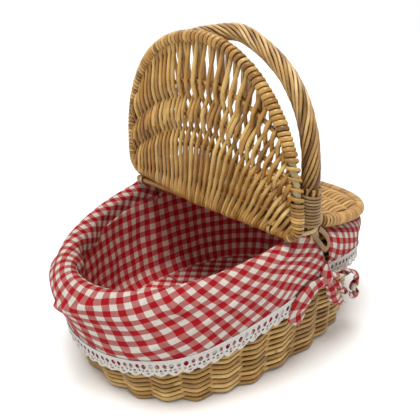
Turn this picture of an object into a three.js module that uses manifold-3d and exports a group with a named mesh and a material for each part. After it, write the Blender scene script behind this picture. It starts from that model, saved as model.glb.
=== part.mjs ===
// Oval willow picnic basket with a fixed twisted handle, two hinged half lids and a gingham liner.
// Millimetres, +Z up. +X runs along the basket towards the closed rear lid, the handle spans along Y,
// and the origin is the middle of the flat underside. The front lid is modelled open, leaning on the handle.
import * as THREE from 'three';
import { mergeVertices } from 'three/addons/utils/BufferGeometryUtils.js';
import Module from 'manifold-3d';

const wasm = await Module();
wasm.setup();

// Clearances between pieces
const CLEARANCE = 0.3;
const SOCKET_CLEARANCE = 0.45;

// Woven body: half sizes are measured to the middle of the wall
const RIM_HALF_LENGTH = 170;
const RIM_HALF_WIDTH = 122;
const RIM_ROUNDNESS = 2.1;
const BASE_HALF_LENGTH = 155;
const BASE_HALF_WIDTH = 113;
const BASE_ROUNDNESS = 2.5;
const WALL_CURVE = 1.45;
const WALL = 12;
const RIDGE_Z = 147;
const RIM_FALL = 0.195;
const RIDGE_ROUNDING = 20;
const BASE_THICKNESS = 10;
const LONG_STICK = 5;
const LONG_STICKS = 3;
const CROSS_STICKS = 5;
const BASE_STICK_PITCH = 44;
const CROSS_STICK = 4.6;
const CHANNEL_OVERRUN = 6;
const STAKES = 28;
const STAKE_RADIUS = 2.5;
const STAKE_FOOT_Z = 6;
const BORDER_RADIUS = 6;

// Handle
const HANDLE_TOP_Z = 323;
const HANDLE_HALF_SPAN = 130;
const HANDLE_SPRING_Z = 200;
const HANDLE_ROUNDNESS = 2.35;
const HANDLE_FOOT_Z = 45;
const CORE_RADIUS = 4.3;
const STRANDS = 8;
const STRAND_RADIUS = 2.55;
const STRAND_GAP = 0.7;
const STRAND_TURNS = 4;
const STRAND_RISE = 4;
const BINDING_LOOPS = 9;
const BINDING_RADIUS = 1.5;
const BINDING_PITCH = 3.7;
const BINDING_FLARE = 1.6;
const BINDING_RISE = 3;

// Hinge bar and cane ties
const BAR_RADIUS = 5;
const SLING_RADIUS = 1.6;
const SLING_RISE = 3;
const LOOP_WIDTH = 4.4;
const LOOP_THICKNESS = 1.6;
const FRONT_LOOP_OFFSET = 104;
const REAR_LOOP_OFFSET = 98;

// Lids: depth and half width are measured to the outside of the wrapped edge
const LID_DEPTH = 169;
const LID_HALF_WIDTH = 138;
const LID_ROUNDNESS = 2.2;
const LID_CORNER = 13;
const BOW_LEAD = 4;
const HINGE_OFFSET = 22;
const HINGE_ROD_RADIUS = 4;
const BOW_RADIUS = 3.4;
const EDGE_RADIUS = 6.2;
const LID_WEAVE = 9;
const LID_RIBS = 3;
const RIB_RADIUS = 2.4;
const RIB_FIRST = 14;
const RIB_PITCH = 32.5;
const RIB_ARCH = 40;
const LID_REST = 0.6;
const NOTCH_MARGIN = 2;

// Liner
const CLOTH = 1.8;
const CLOTH_GAP = 1;
const CUFF_INSIDE = 24;
const FRONT_CUFF_DROP = 62;
const REAR_CUFF_DROP = 34;
const CUFF_EASE = 7;
const EASE_WAVE = 0.7;
const FRONT_CUFF_SPLIT = 16;
const REAR_CUFF_SPLIT = 26;
const CUFF_WAIST = 4;
const FRONT_HEM_SPLIT = 30;
const FOLDS = 5;
const FOLD_DEPTH = 4;
const LACE_DROP = 16;
const LACE = 1.2;

// Cloth ties
const KNOT_X = 22;
const KNOT_DEPTH = 40;
const KNOT_RADIUS = 6;
const TIE = 1.6;
const TIE_OUT = 0.8;
const FRONT_TAIL_REACH = 36;
const FRONT_TAIL_FALL = 42;
const FRONT_TAIL_HALF = 15;
const REAR_LOOP_REACH = 60;
const REAR_LOOP_FALL = 32;
const REAR_LOOP_HALF = 5;
const REAR_TAIL_REACH = 46;
const REAR_TAIL_FALL = 49;
const REAR_TAIL_HALF = 5;

// Facets
const OVAL_STEPS = 48;
const CUFF_STEPS = 26;
const ARCH_POINTS = 12;
const ARCH_STEPS = 34;
const LOOP_STEPS = 10;
const SLING_STEPS = 16;
const HALF_TURN_STEPS = 6;
const CORNER_STEPS = 4;
const BOW_STEPS = 10;
const RIB_POINTS = 8;
const RIB_STEPS = 10;

const WILLOW = { color: 0xb8894a, roughness: 0.62 };
const BARK = { color: 0x9a6f38, roughness: 0.66 };
const CANE = { color: 0xc9a468, roughness: 0.5 };
const GINGHAM = { color: 0xc23a45, roughness: 0.92 };
const COTTON = { color: 0xf0ede4, roughness: 0.95 };

const lerp = THREE.MathUtils.lerp;
const UP = new THREE.Vector3(0, 0, 1);
const basket = new THREE.Group();

function addPart(name, geometry, look, parent = basket) {
  const material = new THREE.MeshStandardMaterial({ ...look, metalness: 0 });
  const mesh = new THREE.Mesh(geometry, material);
  mesh.name = name;
  parent.add(mesh);
  return mesh;
}

// Closed geometry helpers

function signedVolume(points, triangles) {
  let volume = 0;
  const edge = new THREE.Vector3();
  for (let i = 0; i < triangles.length; i += 3) {
    const [a, b, c] = [points[triangles[i]], points[triangles[i + 1]], points[triangles[i + 2]]];
    volume += a.dot(edge.crossVectors(b, c)) / 6;
  }
  return volume;
}

function closedGeometry(points, triangles) {
  const outward = signedVolume(points, triangles) > 0 ? triangles : triangles.toReversed();
  const geometry = new THREE.BufferGeometry();
  geometry.setFromPoints(points);
  geometry.setIndex(outward);
  return geometry;
}

// Joins equal rings of points in a row; closed joins the last ring to the first, or else the ends are capped.
function loft(rings, closed) {
  const count = rings[0].length;
  const points = rings.flat();
  const triangles = [];
  const spans = closed ? rings.length : rings.length - 1;
  for (let i = 0; i < spans; i++) {
    const here = i * count;
    const next = ((i + 1) % rings.length) * count;
    for (let j = 0; j < count; j++) {
      const k = (j + 1) % count;
      triangles.push(here + j, next + j, next + k, here + j, next + k, here + k);
    }
  }
  if (!closed) {
    capRing(points, triangles, 0, count, true);
    capRing(points, triangles, (rings.length - 1) * count, count, false);
  }
  return closedGeometry(points, triangles);
}

function capRing(points, triangles, start, count, reversed) {
  const ring = points.slice(start, start + count);
  const middle = ring.reduce((sum, point) => sum.add(point), new THREE.Vector3()).divideScalar(count);
  const centre = points.push(middle) - 1;
  for (let j = 0; j < count; j++) {
    const [a, b] = [start + j, start + (j + 1) % count];
    triangles.push(centre, reversed ? a : b, reversed ? b : a);
  }
}

// A cloth-like slab between two equal grids of points, closed along its four edges.
function slab(outer, inner) {
  const rows = outer.length;
  const columns = outer[0].length;
  const points = [...outer.flat(), ...inner.flat()];
  const offset = rows * columns;
  const at = (i, j) => i * columns + j;
  const triangles = [];
  const quad = (a, b, c, d) => triangles.push(a, b, c, a, c, d);
  for (let i = 0; i < rows - 1; i++) {
    for (let j = 0; j < columns - 1; j++) {
      const [a, b, c, d] = [at(i, j), at(i + 1, j), at(i + 1, j + 1), at(i, j + 1)];
      quad(a, b, c, d);
      quad(offset + a, offset + d, offset + c, offset + b);
    }
    const last = columns - 1;
    quad(at(i, 0), offset + at(i, 0), offset + at(i + 1, 0), at(i + 1, 0));
    quad(at(i, last), at(i + 1, last), offset + at(i + 1, last), offset + at(i, last));
  }
  for (let j = 0; j < columns - 1; j++) {
    const last = rows - 1;
    quad(at(0, j), at(0, j + 1), offset + at(0, j + 1), offset + at(0, j));
    quad(at(last, j), offset + at(last, j), offset + at(last, j + 1), at(last, j + 1));
  }
  return closedGeometry(points, triangles);
}

function polygon(radius, sides) {
  const corners = [];
  for (let i = 0; i < sides; i++) {
    const angle = (i + 0.5) / sides * 2 * Math.PI;
    corners.push(new THREE.Vector2(radius * Math.cos(angle), radius * Math.sin(angle)));
  }
  return new THREE.Shape(corners);
}

function tube(curve, radius, sides, steps) {
  return new THREE.ExtrudeGeometry(polygon(radius, sides), { steps, bevelEnabled: false, extrudePath: curve });
}

// A ring of rope, cane or rod along a closed row of points; the section is [along side, along up] pairs.
function closedTube(path, up, section) {
  const rings = path.map((point, i) => {
    const next = path[(i + 1) % path.length];
    const previous = path.at(i - 1);
    const side = next.clone().sub(previous).cross(up).normalize();
    return section.map(([a, b]) => point.clone().addScaledVector(side, a).addScaledVector(up, b));
  });
  return loft(rings, true);
}

function roundSection(radius, sides) {
  return polygon(radius, sides).getPoints(1).slice(0, sides).map((point) => [point.x, point.y]);
}

// Tube through given points, with rings square to the path and flat ends; up is never along the path.
function sweep(path, up, radius, sides) {
  const rings = path.map((point, i) => {
    const before = path[Math.max(i - 1, 0)];
    const after = path[Math.min(i + 1, path.length - 1)];
    const along = after.clone().sub(before).normalize();
    const side = up.clone().cross(along).normalize();
    const rise = along.clone().cross(side);
    return roundSection(radius, sides)
      .map(([a, b]) => point.clone().addScaledVector(side, a).addScaledVector(rise, b));
  });
  return loft(rings, false);
}

// Boolean helpers

function solidOf(geometry) {
  const bare = geometry.clone();
  bare.deleteAttribute('normal');
  bare.deleteAttribute('uv');
  const merged = mergeVertices(bare, 1e-4);
  return new wasm.Manifold(new wasm.Mesh({
    numProp: 3,
    vertProperties: new Float32Array(merged.attributes.position.array),
    triVerts: new Uint32Array(merged.index.array),
  }));
}

function geometryOf(solid) {
  const mesh = solid.getMesh();
  const geometry = new THREE.BufferGeometry();
  geometry.setAttribute('position', new THREE.BufferAttribute(mesh.vertProperties, 3));
  geometry.setIndex(new THREE.BufferAttribute(mesh.triVerts, 1));
  return geometry;
}

function cut(geometry, cutters) {
  return geometryOf(cutters.reduce((solid, cutter) => solid.subtract(solidOf(cutter)), solidOf(geometry)));
}

function join(geometries) {
  const [first, ...rest] = geometries.map(solidOf);
  return geometryOf(rest.reduce((solid, other) => solid.add(other), first));
}

// Oval of the body

const signedPower = (value, power) => Math.sign(value) * Math.abs(value) ** power;

function ovalPoint(halfLength, halfWidth, roundness, angle) {
  return new THREE.Vector2(
    halfLength * signedPower(Math.cos(angle), 2 / roundness),
    halfWidth * signedPower(Math.sin(angle), 2 / roundness),
  );
}

const rimZ = (x) => RIDGE_Z - RIM_FALL * Math.hypot(x, RIDGE_ROUNDING);

function wallOval(angle, share, out) {
  const grown = 1 - (1 - Math.min(share, 1)) ** WALL_CURVE;
  const halfLength = lerp(BASE_HALF_LENGTH, RIM_HALF_LENGTH, grown) + out;
  const halfWidth = lerp(BASE_HALF_WIDTH, RIM_HALF_WIDTH, grown) + out;
  return ovalPoint(halfLength, halfWidth, lerp(BASE_ROUNDNESS, RIM_ROUNDNESS, share), angle);
}

// A point at a share of the rim's height, out from the middle of the wall.
function wallPoint(angle, share, out) {
  const middle = wallOval(angle, share, 0);
  const point = wallOval(angle, share, out);
  return new THREE.Vector3(point.x, point.y, share * rimZ(middle.x));
}

// A point at a depth below the rim, out from the middle of the wall.
function rimPoint(angle, depth, out) {
  const top = rimZ(wallOval(angle, 1, 0).x);
  const share = Math.min(1 - depth / top, 1);
  const point = wallOval(angle, share, out);
  return new THREE.Vector3(point.x, point.y, top - depth);
}

function angleAtX(x, side) {
  return side * Math.acos(signedPower(x / RIM_HALF_LENGTH, RIM_ROUNDNESS / 2));
}

// Angles at equal spacings along the rim, starting half a spacing away from the handle.
function evenAngles(count) {
  const fine = 1440;
  const lengths = [0];
  const start = Math.PI / 2;
  let previous = wallPoint(start, 1, 0);
  for (let i = 1; i <= fine; i++) {
    const point = wallPoint(start + i / fine * 2 * Math.PI, 1, 0);
    lengths.push(lengths[i - 1] + point.distanceTo(previous));
    previous = point;
  }
  return Array.from({ length: count }, (_, k) => {
    const wanted = (k + 0.5) / count * lengths[fine];
    return start + lengths.findIndex((length) => length >= wanted) / fine * 2 * Math.PI;
  });
}

function ovalRing(pointAt, steps = OVAL_STEPS) {
  return Array.from({ length: steps }, (_, i) => pointAt(i / steps * 2 * Math.PI));
}

// Handle spine: both feet follow the wall, and the arch is half a superellipse in the plane x = 0

const NEAR = -1;
const FAR = 1;
const HANDLE_RADIUS = CORE_RADIUS + STRAND_GAP + 2 * STRAND_RADIUS;

function handleFoot(side) {
  const ridge = rimZ(0);
  const inBorder = ridge - BORDER_RADIUS;
  return [HANDLE_FOOT_Z, lerp(HANDLE_FOOT_Z, inBorder, 0.5), inBorder]
    .map((z) => wallPoint(side * Math.PI / 2, z / ridge, 0).setX(0));
}

function handleArch() {
  return Array.from({ length: ARCH_POINTS + 1 }, (_, i) => {
    const angle = i / ARCH_POINTS * Math.PI;
    const point = ovalPoint(HANDLE_HALF_SPAN, HANDLE_TOP_Z - HANDLE_SPRING_Z, HANDLE_ROUNDNESS, angle);
    return new THREE.Vector3(0, -point.x, HANDLE_SPRING_Z + point.y);
  });
}

const handleSpine = new THREE.CatmullRomCurve3(
  [...handleFoot(NEAR), ...handleArch(), ...handleFoot(FAR).reverse()], false, 'centripetal');

// Where the near leg of the handle reaches a height, as a share of the spine's length.
function spineAtHeight(z) {
  const fine = 2000;
  let i = 0;
  while (handleSpine.getPointAt(i / fine).z < z) i++;
  return i / fine;
}

// A line winding round the handle spine between two places on it.
class Spiral extends THREE.Curve {
  constructor(from, to, radiusAt, turns, phase) {
    super();
    Object.assign(this, { from, to, radiusAt, turns, phase });
  }

  getPoint(t, target = new THREE.Vector3()) {
    const place = lerp(this.from, this.to, t);
    const across = new THREE.Vector3(1, 0, 0);
    const outward = handleSpine.getTangentAt(place).cross(across);
    const angle = this.phase + t * this.turns * 2 * Math.PI;
    const radius = this.radiusAt(t);
    return target.copy(handleSpine.getPointAt(place))
      .addScaledVector(across, radius * Math.cos(angle))
      .addScaledVector(outward, radius * Math.sin(angle));
  }
}

// Woven body

const legBores = tube(handleSpine, CORE_RADIUS + SOCKET_CLEARANCE, 6, ARCH_STEPS);
const borderDepth = 2 * BORDER_RADIUS;
const baseInset = WALL / 2 + CLEARANCE;

function baseOutline() {
  return new THREE.Shape(ovalRing((angle) => wallOval(angle, 0, -baseInset)));
}

function baseReach(offset, halfAlong, halfAcross) {
  return halfAlong * (1 - Math.abs(offset / halfAcross) ** BASE_ROUNDNESS) ** (1 / BASE_ROUNDNESS);
}

// Long sticks lie along X and cross sticks along Y; the channels are wider by extra and longer by overrun.
function baseSticks(extra, overrun) {
  const halfLength = BASE_HALF_LENGTH - baseInset;
  const halfWidth = BASE_HALF_WIDTH - baseInset;
  const sticks = [];
  const place = (size, x, y) => {
    sticks.push(new THREE.BoxGeometry(...size).translate(x, y, BASE_THICKNESS / 2));
  };
  for (let i = 0; i < LONG_STICKS; i++) {
    const y = (i - (LONG_STICKS - 1) / 2) * BASE_STICK_PITCH;
    const reach = baseReach(Math.abs(y) + LONG_STICK / 2, halfLength, halfWidth);
    const thickness = LONG_STICK + 2 * extra;
    place([2 * (reach + overrun), thickness, thickness], 0, y);
  }
  for (let i = 0; i < CROSS_STICKS; i++) {
    const x = (i - (CROSS_STICKS - 1) / 2) * BASE_STICK_PITCH;
    const reach = baseReach(Math.abs(x) + CROSS_STICK / 2, halfWidth, halfLength);
    const thickness = CROSS_STICK + 2 * extra;
    place([thickness, 2 * (reach + overrun), thickness], x, 0);
  }
  return sticks;
}

function stakes(extra) {
  return evenAngles(STAKES).map((angle) => {
    const foot = STAKE_FOOT_Z - extra;
    const ridge = rimZ(wallOval(angle, 1, 0).x);
    const shares = [foot / ridge, 0.5, 1 - BORDER_RADIUS / ridge];
    const line = new THREE.CatmullRomCurve3(shares.map((share) => wallPoint(angle, share, 0)));
    return tube(line, STAKE_RADIUS + extra, 4, 2);
  });
}

function sideWeave() {
  const levels = [0, 0.25, 0.5, 0.75];
  const topDepth = borderDepth + CLEARANCE;
  const rise = (out) => [
    ...levels.map((share) => ovalRing((angle) => wallPoint(angle, share, out))),
    ovalRing((angle) => rimPoint(angle, topDepth, out)),
  ];
  const shell = loft([...rise(WALL / 2), ...rise(-WALL / 2).reverse()], true);
  return cut(shell, [...stakes(SOCKET_CLEARANCE), legBores]);
}

function stakeBorder() {
  const path = ovalRing((angle) => rimPoint(angle, BORDER_RADIUS, 0));
  const border = closedTube(path, UP, roundSection(BORDER_RADIUS, 6));
  return cut(join([border, ...stakes(0)]), [legBores]);
}

const baseBlock = new THREE.ExtrudeGeometry(baseOutline(), { depth: BASE_THICKNESS, bevelEnabled: false });
addPart('base_weave', cut(baseBlock, [join(baseSticks(CLEARANCE, CHANNEL_OVERRUN))]), WILLOW);
addPart('base_sticks', join(baseSticks(0, 0)), BARK);
addPart('side_weave', sideWeave(), WILLOW);
addPart('stake_border', stakeBorder(), BARK);

// Height of the hinge axes: shut lids lie on the folded cloth over the sloping rim

const lidSlope = Math.atan(RIM_FALL);
const crestRise = CLOTH_GAP + CLOTH + LID_REST;
const hingeZ = RIDGE_Z - RIM_FALL * HINGE_OFFSET + crestRise + EDGE_RADIUS / Math.cos(lidSlope);

// Handle

const strandStart = spineAtHeight(rimZ(0) + STRAND_RISE);
const spineLength = handleSpine.getLength();

function addHandle() {
  addPart('handle_core', tube(handleSpine, CORE_RADIUS, 6, ARCH_STEPS), BARK);
  const lay = CORE_RADIUS + STRAND_GAP + STRAND_RADIUS;
  for (let i = 0; i < STRANDS; i++) {
    const phase = i / STRANDS * 2 * Math.PI;
    const line = new Spiral(strandStart, 1 - strandStart, () => lay, STRAND_TURNS, phase);
    addPart(`handle_strand_${i + 1}`, tube(line, STRAND_RADIUS, 4, ARCH_STEPS), WILLOW);
  }
}

// Cane wound round a foot of the handle, wider at its lower end; both ends run straight for one diameter.
function bindingPath(side) {
  const height = BINDING_LOOPS * BINDING_PITCH;
  const low = spineAtHeight(hingeZ + BAR_RADIUS + BINDING_RISE);
  const high = low + height / spineLength;
  const [from, to] = side === NEAR ? [low, high] : [1 - low, 1 - high];
  const inner = HANDLE_RADIUS + CLEARANCE + BINDING_RADIUS;
  const radiusAt = (t) => inner + BINDING_FLARE * (1 - t);
  const spiral = new Spiral(from, to, radiusAt, BINDING_LOOPS, 0);
  const winding = spiral.getPoints(BINDING_LOOPS * LOOP_STEPS);
  const lead = (end, direction) => end.clone().addScaledVector(direction, 2 * BINDING_RADIUS);
  const first = lead(winding[0], spiral.getTangent(0).negate());
  const last = lead(winding.at(-1), spiral.getTangent(1));
  return [first, ...winding, last];
}

// Least clear distance between stretches of a winding that are over half a loop apart.
function leastSelfGap(path, diameter, apart) {
  let least = Infinity;
  for (let i = 0; i < path.length; i++) {
    for (let j = i + apart; j < path.length; j++) least = Math.min(least, path[i].distanceTo(path[j]));
  }
  return least - diameter;
}

function addBinding(name, side) {
  const path = bindingPath(side);
  const gap = leastSelfGap(path, 2 * BINDING_RADIUS, LOOP_STEPS / 2 + 1);
  console.log(`${name} least gap to itself ${gap.toFixed(2)} mm`);
  addPart(name, sweep(path, UP, BINDING_RADIUS, 5), CANE);
}

addHandle();
addBinding('near_handle_binding', NEAR);
addBinding('far_handle_binding', FAR);

// Hinge bar, its slings and the lid loops

const legAtBar = handleSpine.getPointAt(spineAtHeight(hingeZ));
const barHalf = Math.abs(legAtBar.y) - HANDLE_RADIUS - CLEARANCE;

function addHingeBar() {
  const [nearEnd, farEnd] = [NEAR, FAR].map((side) => new THREE.Vector3(0, side * barHalf, hingeZ));
  const ends = new THREE.LineCurve3(nearEnd, farEnd);
  addPart('hinge_bar', tube(ends, BAR_RADIUS, 8, 1), BARK);
}

// A cane ring round the leg of the handle, low on the inside where the bar lies in it.
function addSling(name, side) {
  const reach = HANDLE_RADIUS + 2 * CLEARANCE + SLING_RADIUS;
  const lowZ = hingeZ - BAR_RADIUS - CLEARANCE - SLING_RADIUS;
  const path = Array.from({ length: SLING_STEPS }, (_, i) => {
    const angle = i / SLING_STEPS * 2 * Math.PI;
    const z = lowZ + SLING_RISE * (1 + Math.cos(angle));
    const y = Math.abs(legAtBar.y) + reach * Math.cos(angle);
    return new THREE.Vector3(reach * Math.sin(angle), side * y, z);
  });
  addPart(name, closedTube(path, UP, roundSection(SLING_RADIUS, 5)), CANE);
}

// A flat cane loop round the bar and a lid's hinge rod; lidX is the side the rod lies on.
function addLidLoop(name, lidX, y) {
  const halfTurn = ({ x, radius }, from) => Array.from({ length: HALF_TURN_STEPS + 1 }, (_, i) => {
    const angle = from + i / HALF_TURN_STEPS * Math.PI;
    const reach = radius + CLEARANCE + LOOP_THICKNESS / 2;
    return new THREE.Vector3(x + reach * Math.cos(angle), y, hingeZ + reach * Math.sin(angle));
  });
  const held = [{ x: 0, radius: BAR_RADIUS }, { x: lidX, radius: HINGE_ROD_RADIUS }];
  const [left, right] = held.sort((a, b) => a.x - b.x);
  const path = [...halfTurn(right, -Math.PI / 2), ...halfTurn(left, Math.PI / 2)];
  const [a, b] = [LOOP_THICKNESS / 2, LOOP_WIDTH / 2];
  const section = [[a, b], [-a, b], [-a, -b], [a, -b]];
  addPart(name, closedTube(path, new THREE.Vector3(0, 1, 0), section), CANE);
}

addHingeBar();
addSling('near_bar_sling', NEAR);
addSling('far_bar_sling', FAR);
addLidLoop('front_lid_near_loop', -HINGE_OFFSET, -FRONT_LOOP_OFFSET);
addLidLoop('front_lid_far_loop', -HINGE_OFFSET, FRONT_LOOP_OFFSET);
addLidLoop('rear_lid_near_loop', HINGE_OFFSET, -REAR_LOOP_OFFSET);
addLidLoop('rear_lid_far_loop', HINGE_OFFSET, REAR_LOOP_OFFSET);

// Lids, each built flat with its hinge axis on local Y and its tip towards local +X

const bowDepth = LID_DEPTH - EDGE_RADIUS;
const bowHalf = LID_HALF_WIDTH - EDGE_RADIUS;
const weaveInset = EDGE_RADIUS + CLEARANCE;

// Half the D outline from the hinge line to the tip, drawn in by an inset, on the side given by its sign.
function lidSide(inset, side) {
  const corner = LID_CORNER - inset;
  const centre = bowHalf - LID_CORNER;
  const points = [];
  for (let i = 0; i < CORNER_STEPS; i++) {
    const angle = i / CORNER_STEPS * Math.PI / 2;
    const x = LID_CORNER - corner * Math.cos(angle);
    points.push(new THREE.Vector2(x, side * (centre + corner * Math.sin(angle))));
  }
  for (let i = 0; i <= BOW_STEPS; i++) {
    const angle = i / BOW_STEPS * Math.PI / 2;
    const point = ovalPoint(bowDepth - inset - LID_CORNER, bowHalf - inset, LID_ROUNDNESS, Math.PI / 2 - angle);
    points.push(new THREE.Vector2(LID_CORNER + point.x, side * point.y));
  }
  return points;
}

function lidOutline(inset) {
  return [...lidSide(inset, NEAR), ...lidSide(inset, FAR).reverse().slice(1)];
}

// The rim bow's line, with a straight lead at both ends in line with the hinge rod.
function bowPath(lead) {
  const path = lidOutline(0).map((point) => new THREE.Vector3(point.x, point.y, 0));
  const extend = (end) => end.clone().setY(Math.sign(end.y) * (Math.abs(end.y) - lead));
  return [extend(path[0]), ...path, extend(path.at(-1))];
}

function lidHalfWidthAt(x, inset) {
  const share = (x - LID_CORNER) / (bowDepth - inset - LID_CORNER);
  return (bowHalf - inset) * (1 - Math.max(share, 0) ** LID_ROUNDNESS) ** (1 / LID_ROUNDNESS);
}

// Arched rib number k, running past the weave's edge by an overrun.
function ribCurve(k, overrun) {
  const endX = EDGE_RADIUS + RIB_FIRST + k * RIB_PITCH;
  const half = lidHalfWidthAt(endX + RIB_RADIUS, weaveInset);
  const limit = half + overrun;
  const points = Array.from({ length: RIB_POINTS + 1 }, (_, i) => {
    const y = lerp(-limit, limit, i / RIB_POINTS);
    return new THREE.Vector3(endX + RIB_ARCH * (1 - (y / half) ** 2), y, 0);
  });
  return new THREE.CatmullRomCurve3(points);
}

function lidWeave(loopOffset) {
  const shape = new THREE.Shape(lidOutline(weaveInset));
  const panel = new THREE.ExtrudeGeometry(shape, { depth: LID_WEAVE, bevelEnabled: false });
  panel.translate(0, 0, -LID_WEAVE / 2);
  const channels = [];
  for (let k = 0; k < LID_RIBS; k++) {
    channels.push(tube(ribCurve(k, 2 * RIB_RADIUS), RIB_RADIUS + SOCKET_CLEARANCE, 4, RIB_STEPS));
  }
  const loopReach = BAR_RADIUS + CLEARANCE + LOOP_THICKNESS;
  const notchWidth = LOOP_WIDTH + 2 * NOTCH_MARGIN;
  const notches = [NEAR, FAR].map((side) => new THREE.BoxGeometry(
    2 * (loopReach + NOTCH_MARGIN), notchWidth, 2 * LID_WEAVE).translate(0, side * loopOffset, 0));
  return cut(panel, [...channels, ...notches]);
}

function hingeWrap(loopOffset) {
  const half = loopOffset - LOOP_WIDTH / 2 - NOTCH_MARGIN;
  const bore = HINGE_ROD_RADIUS + SOCKET_CLEARANCE;
  const profile = [[bore, -half], [EDGE_RADIUS, -half], [EDGE_RADIUS, half], [bore, half], [bore, -half]];
  return new THREE.LatheGeometry(profile.map(([x, y]) => new THREE.Vector2(x, y)), 8);
}

function addLid(name, loopOffset) {
  const lid = new THREE.Group();
  const rodHalf = bowHalf - LID_CORNER - BOW_LEAD - CLEARANCE;
  addPart(`${name}_hinge_rod`, new THREE.CylinderGeometry(HINGE_ROD_RADIUS, HINGE_ROD_RADIUS, 2 * rodHalf, 8),
    BARK, lid);
  addPart(`${name}_rim_bow`, sweep(bowPath(BOW_LEAD), UP, BOW_RADIUS, 5), BARK, lid);
  const bore = sweep(bowPath(BOW_LEAD + BOW_RADIUS), UP, BOW_RADIUS + SOCKET_CLEARANCE, 5);
  addPart(`${name}_edge_wrap`, cut(sweep(bowPath(BOW_LEAD), UP, EDGE_RADIUS, 8), [bore]), WILLOW, lid);
  addPart(`${name}_hinge_wrap`, hingeWrap(loopOffset), WILLOW, lid);
  addPart(`${name}_weave`, lidWeave(loopOffset), WILLOW, lid);
  for (let k = 0; k < LID_RIBS; k++) {
    addPart(`${name}_rib_${k + 1}`, tube(ribCurve(k, -RIB_RADIUS / 2), RIB_RADIUS, 4, RIB_STEPS), BARK, lid);
  }
  basket.add(lid);
  return lid;
}

// The open lid leans back until its wrapped edge lies against the handle.
const leanRoom = HINGE_OFFSET - EDGE_RADIUS - HANDLE_RADIUS - CLEARANCE;
const openAngle = Math.PI / 2 + Math.asin(leanRoom / bowDepth);

const frontLid = addLid('front_lid', FRONT_LOOP_OFFSET);
frontLid.position.set(-HINGE_OFFSET, 0, hingeZ);
frontLid.rotation.y = Math.PI + openAngle;

const rearLid = addLid('rear_lid', REAR_LOOP_OFFSET);
rearLid.position.set(HINGE_OFFSET, 0, hingeZ);
rearLid.rotation.y = lidSlope;

const degrees = THREE.MathUtils.radToDeg;
console.log(`hinge axes at x ${HINGE_OFFSET} and z ${hingeZ.toFixed(3)} mm`);
console.log(`lids turn ${degrees(openAngle + lidSlope).toFixed(2)} degrees from shut to open`);

// Liner

const bagTop = CUFF_INSIDE + CLEARANCE;

// A cup of cloth on the inside of the wall and on the base, open at the top.
function linerBag() {
  const floorZ = BASE_THICKNESS + CLOTH_GAP;
  const wallOut = -WALL / 2 - CLOTH_GAP;
  const side = (z, out) => ovalRing((angle) => {
    const top = rimZ(wallOval(angle, 1, 0).x);
    const oval = wallOval(angle, z / top, out);
    return new THREE.Vector3(oval.x, oval.y, z);
  });
  const rise = (z, out) => [
    side(z, out),
    side(lerp(z, RIDGE_Z, 0.3), out),
    ovalRing((angle) => rimPoint(angle, bagTop, out)),
  ];
  return loft([...rise(floorZ, wallOut), ...rise(floorZ + CLOTH, wallOut - CLOTH).reverse()], false);
}

// The x on the middle of the wall that lies under an x measured outside it.
function drawnIn(x, out) {
  return x * RIM_HALF_LENGTH / (RIM_HALF_LENGTH + out);
}

// The two cuffs, with the x of their edges at the rim, the knot and the hem.
// The front one is drawn past the handle's foot to the knot.
const frontWaist = drawnIn(KNOT_X - CUFF_WAIST, cuffOut(0, KNOT_DEPTH));
const rearWaist = drawnIn(KNOT_X + CUFF_WAIST, cuffOut(0, KNOT_DEPTH));
const FRONT_CUFF = {
  end: -1, drop: FRONT_CUFF_DROP, split: -FRONT_CUFF_SPLIT, waist: frontWaist, hem: -FRONT_HEM_SPLIT,
};
const REAR_CUFF = { end: 1, drop: REAR_CUFF_DROP, split: REAR_CUFF_SPLIT, waist: rearWaist, hem: rearWaist };

// Where a cuff's edge lies along the wall at a depth below the rim.
function cuffEdge({ drop, split, waist, hem }, depth) {
  if (depth < KNOT_DEPTH) return lerp(split, waist, Math.max(depth, 0) / KNOT_DEPTH);
  if (drop < KNOT_DEPTH) return hem;
  return lerp(waist, hem, (depth - KNOT_DEPTH) / (drop - KNOT_DEPTH));
}

// How far the hanging cloth stands off the wall: eased out below the rim, with main folds towards the hem.
function hangAt(along, depth, drop) {
  const share = THREE.MathUtils.clamp(depth / drop, 0, 1);
  const fold = 0.5 - 0.5 * Math.cos(along * FOLDS * 2 * Math.PI);
  return CUFF_EASE * Math.sin(share * Math.PI * EASE_WAVE) + FOLD_DEPTH * fold * share;
}

function clothPoint(cuff, along, depth, out) {
  const from = angleAtX(cuffEdge(cuff, out > 0 ? depth : 0), 1);
  const to = cuff.end < 0 ? 2 * Math.PI - from : -from;
  const angle = lerp(from, to, along);
  const hang = out > 0 ? hangAt(along, depth, cuff.drop) : 0;
  return rimPoint(angle, depth, out + hang);
}

// The cuff's section from the inside of the wall, over the border and down outside, as [out, depth] pairs.
function cuffSection(lift, drop) {
  const radius = BORDER_RADIUS + lift;
  const over = [135, 90, 45].map((angle) => THREE.MathUtils.degToRad(angle));
  const between = (a, b) => lerp(a, b, 0.5);
  const stops = [BORDER_RADIUS, KNOT_DEPTH, drop].filter((depth) => depth <= drop);
  const depths = stops.slice(1).flatMap((depth, i) => [between(stops[i], depth), depth]);
  return [
    [-radius, CUFF_INSIDE],
    [-radius, BORDER_RADIUS],
    ...over.map((angle) => [radius * Math.cos(angle), BORDER_RADIUS - radius * Math.sin(angle)]),
    [radius, BORDER_RADIUS],
    ...depths.map((depth) => [radius, depth]),
  ];
}

function clothGrid(cuff, section) {
  return Array.from({ length: CUFF_STEPS + 1 }, (_, i) =>
    section.map(([out, depth]) => clothPoint(cuff, i / CUFF_STEPS, depth, out)));
}

function laceSection(lift, drop) {
  const top = drop + CLEARANCE;
  return [0, 1].map((share) => [BORDER_RADIUS + lift, top + share * LACE_DROP]);
}

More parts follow.
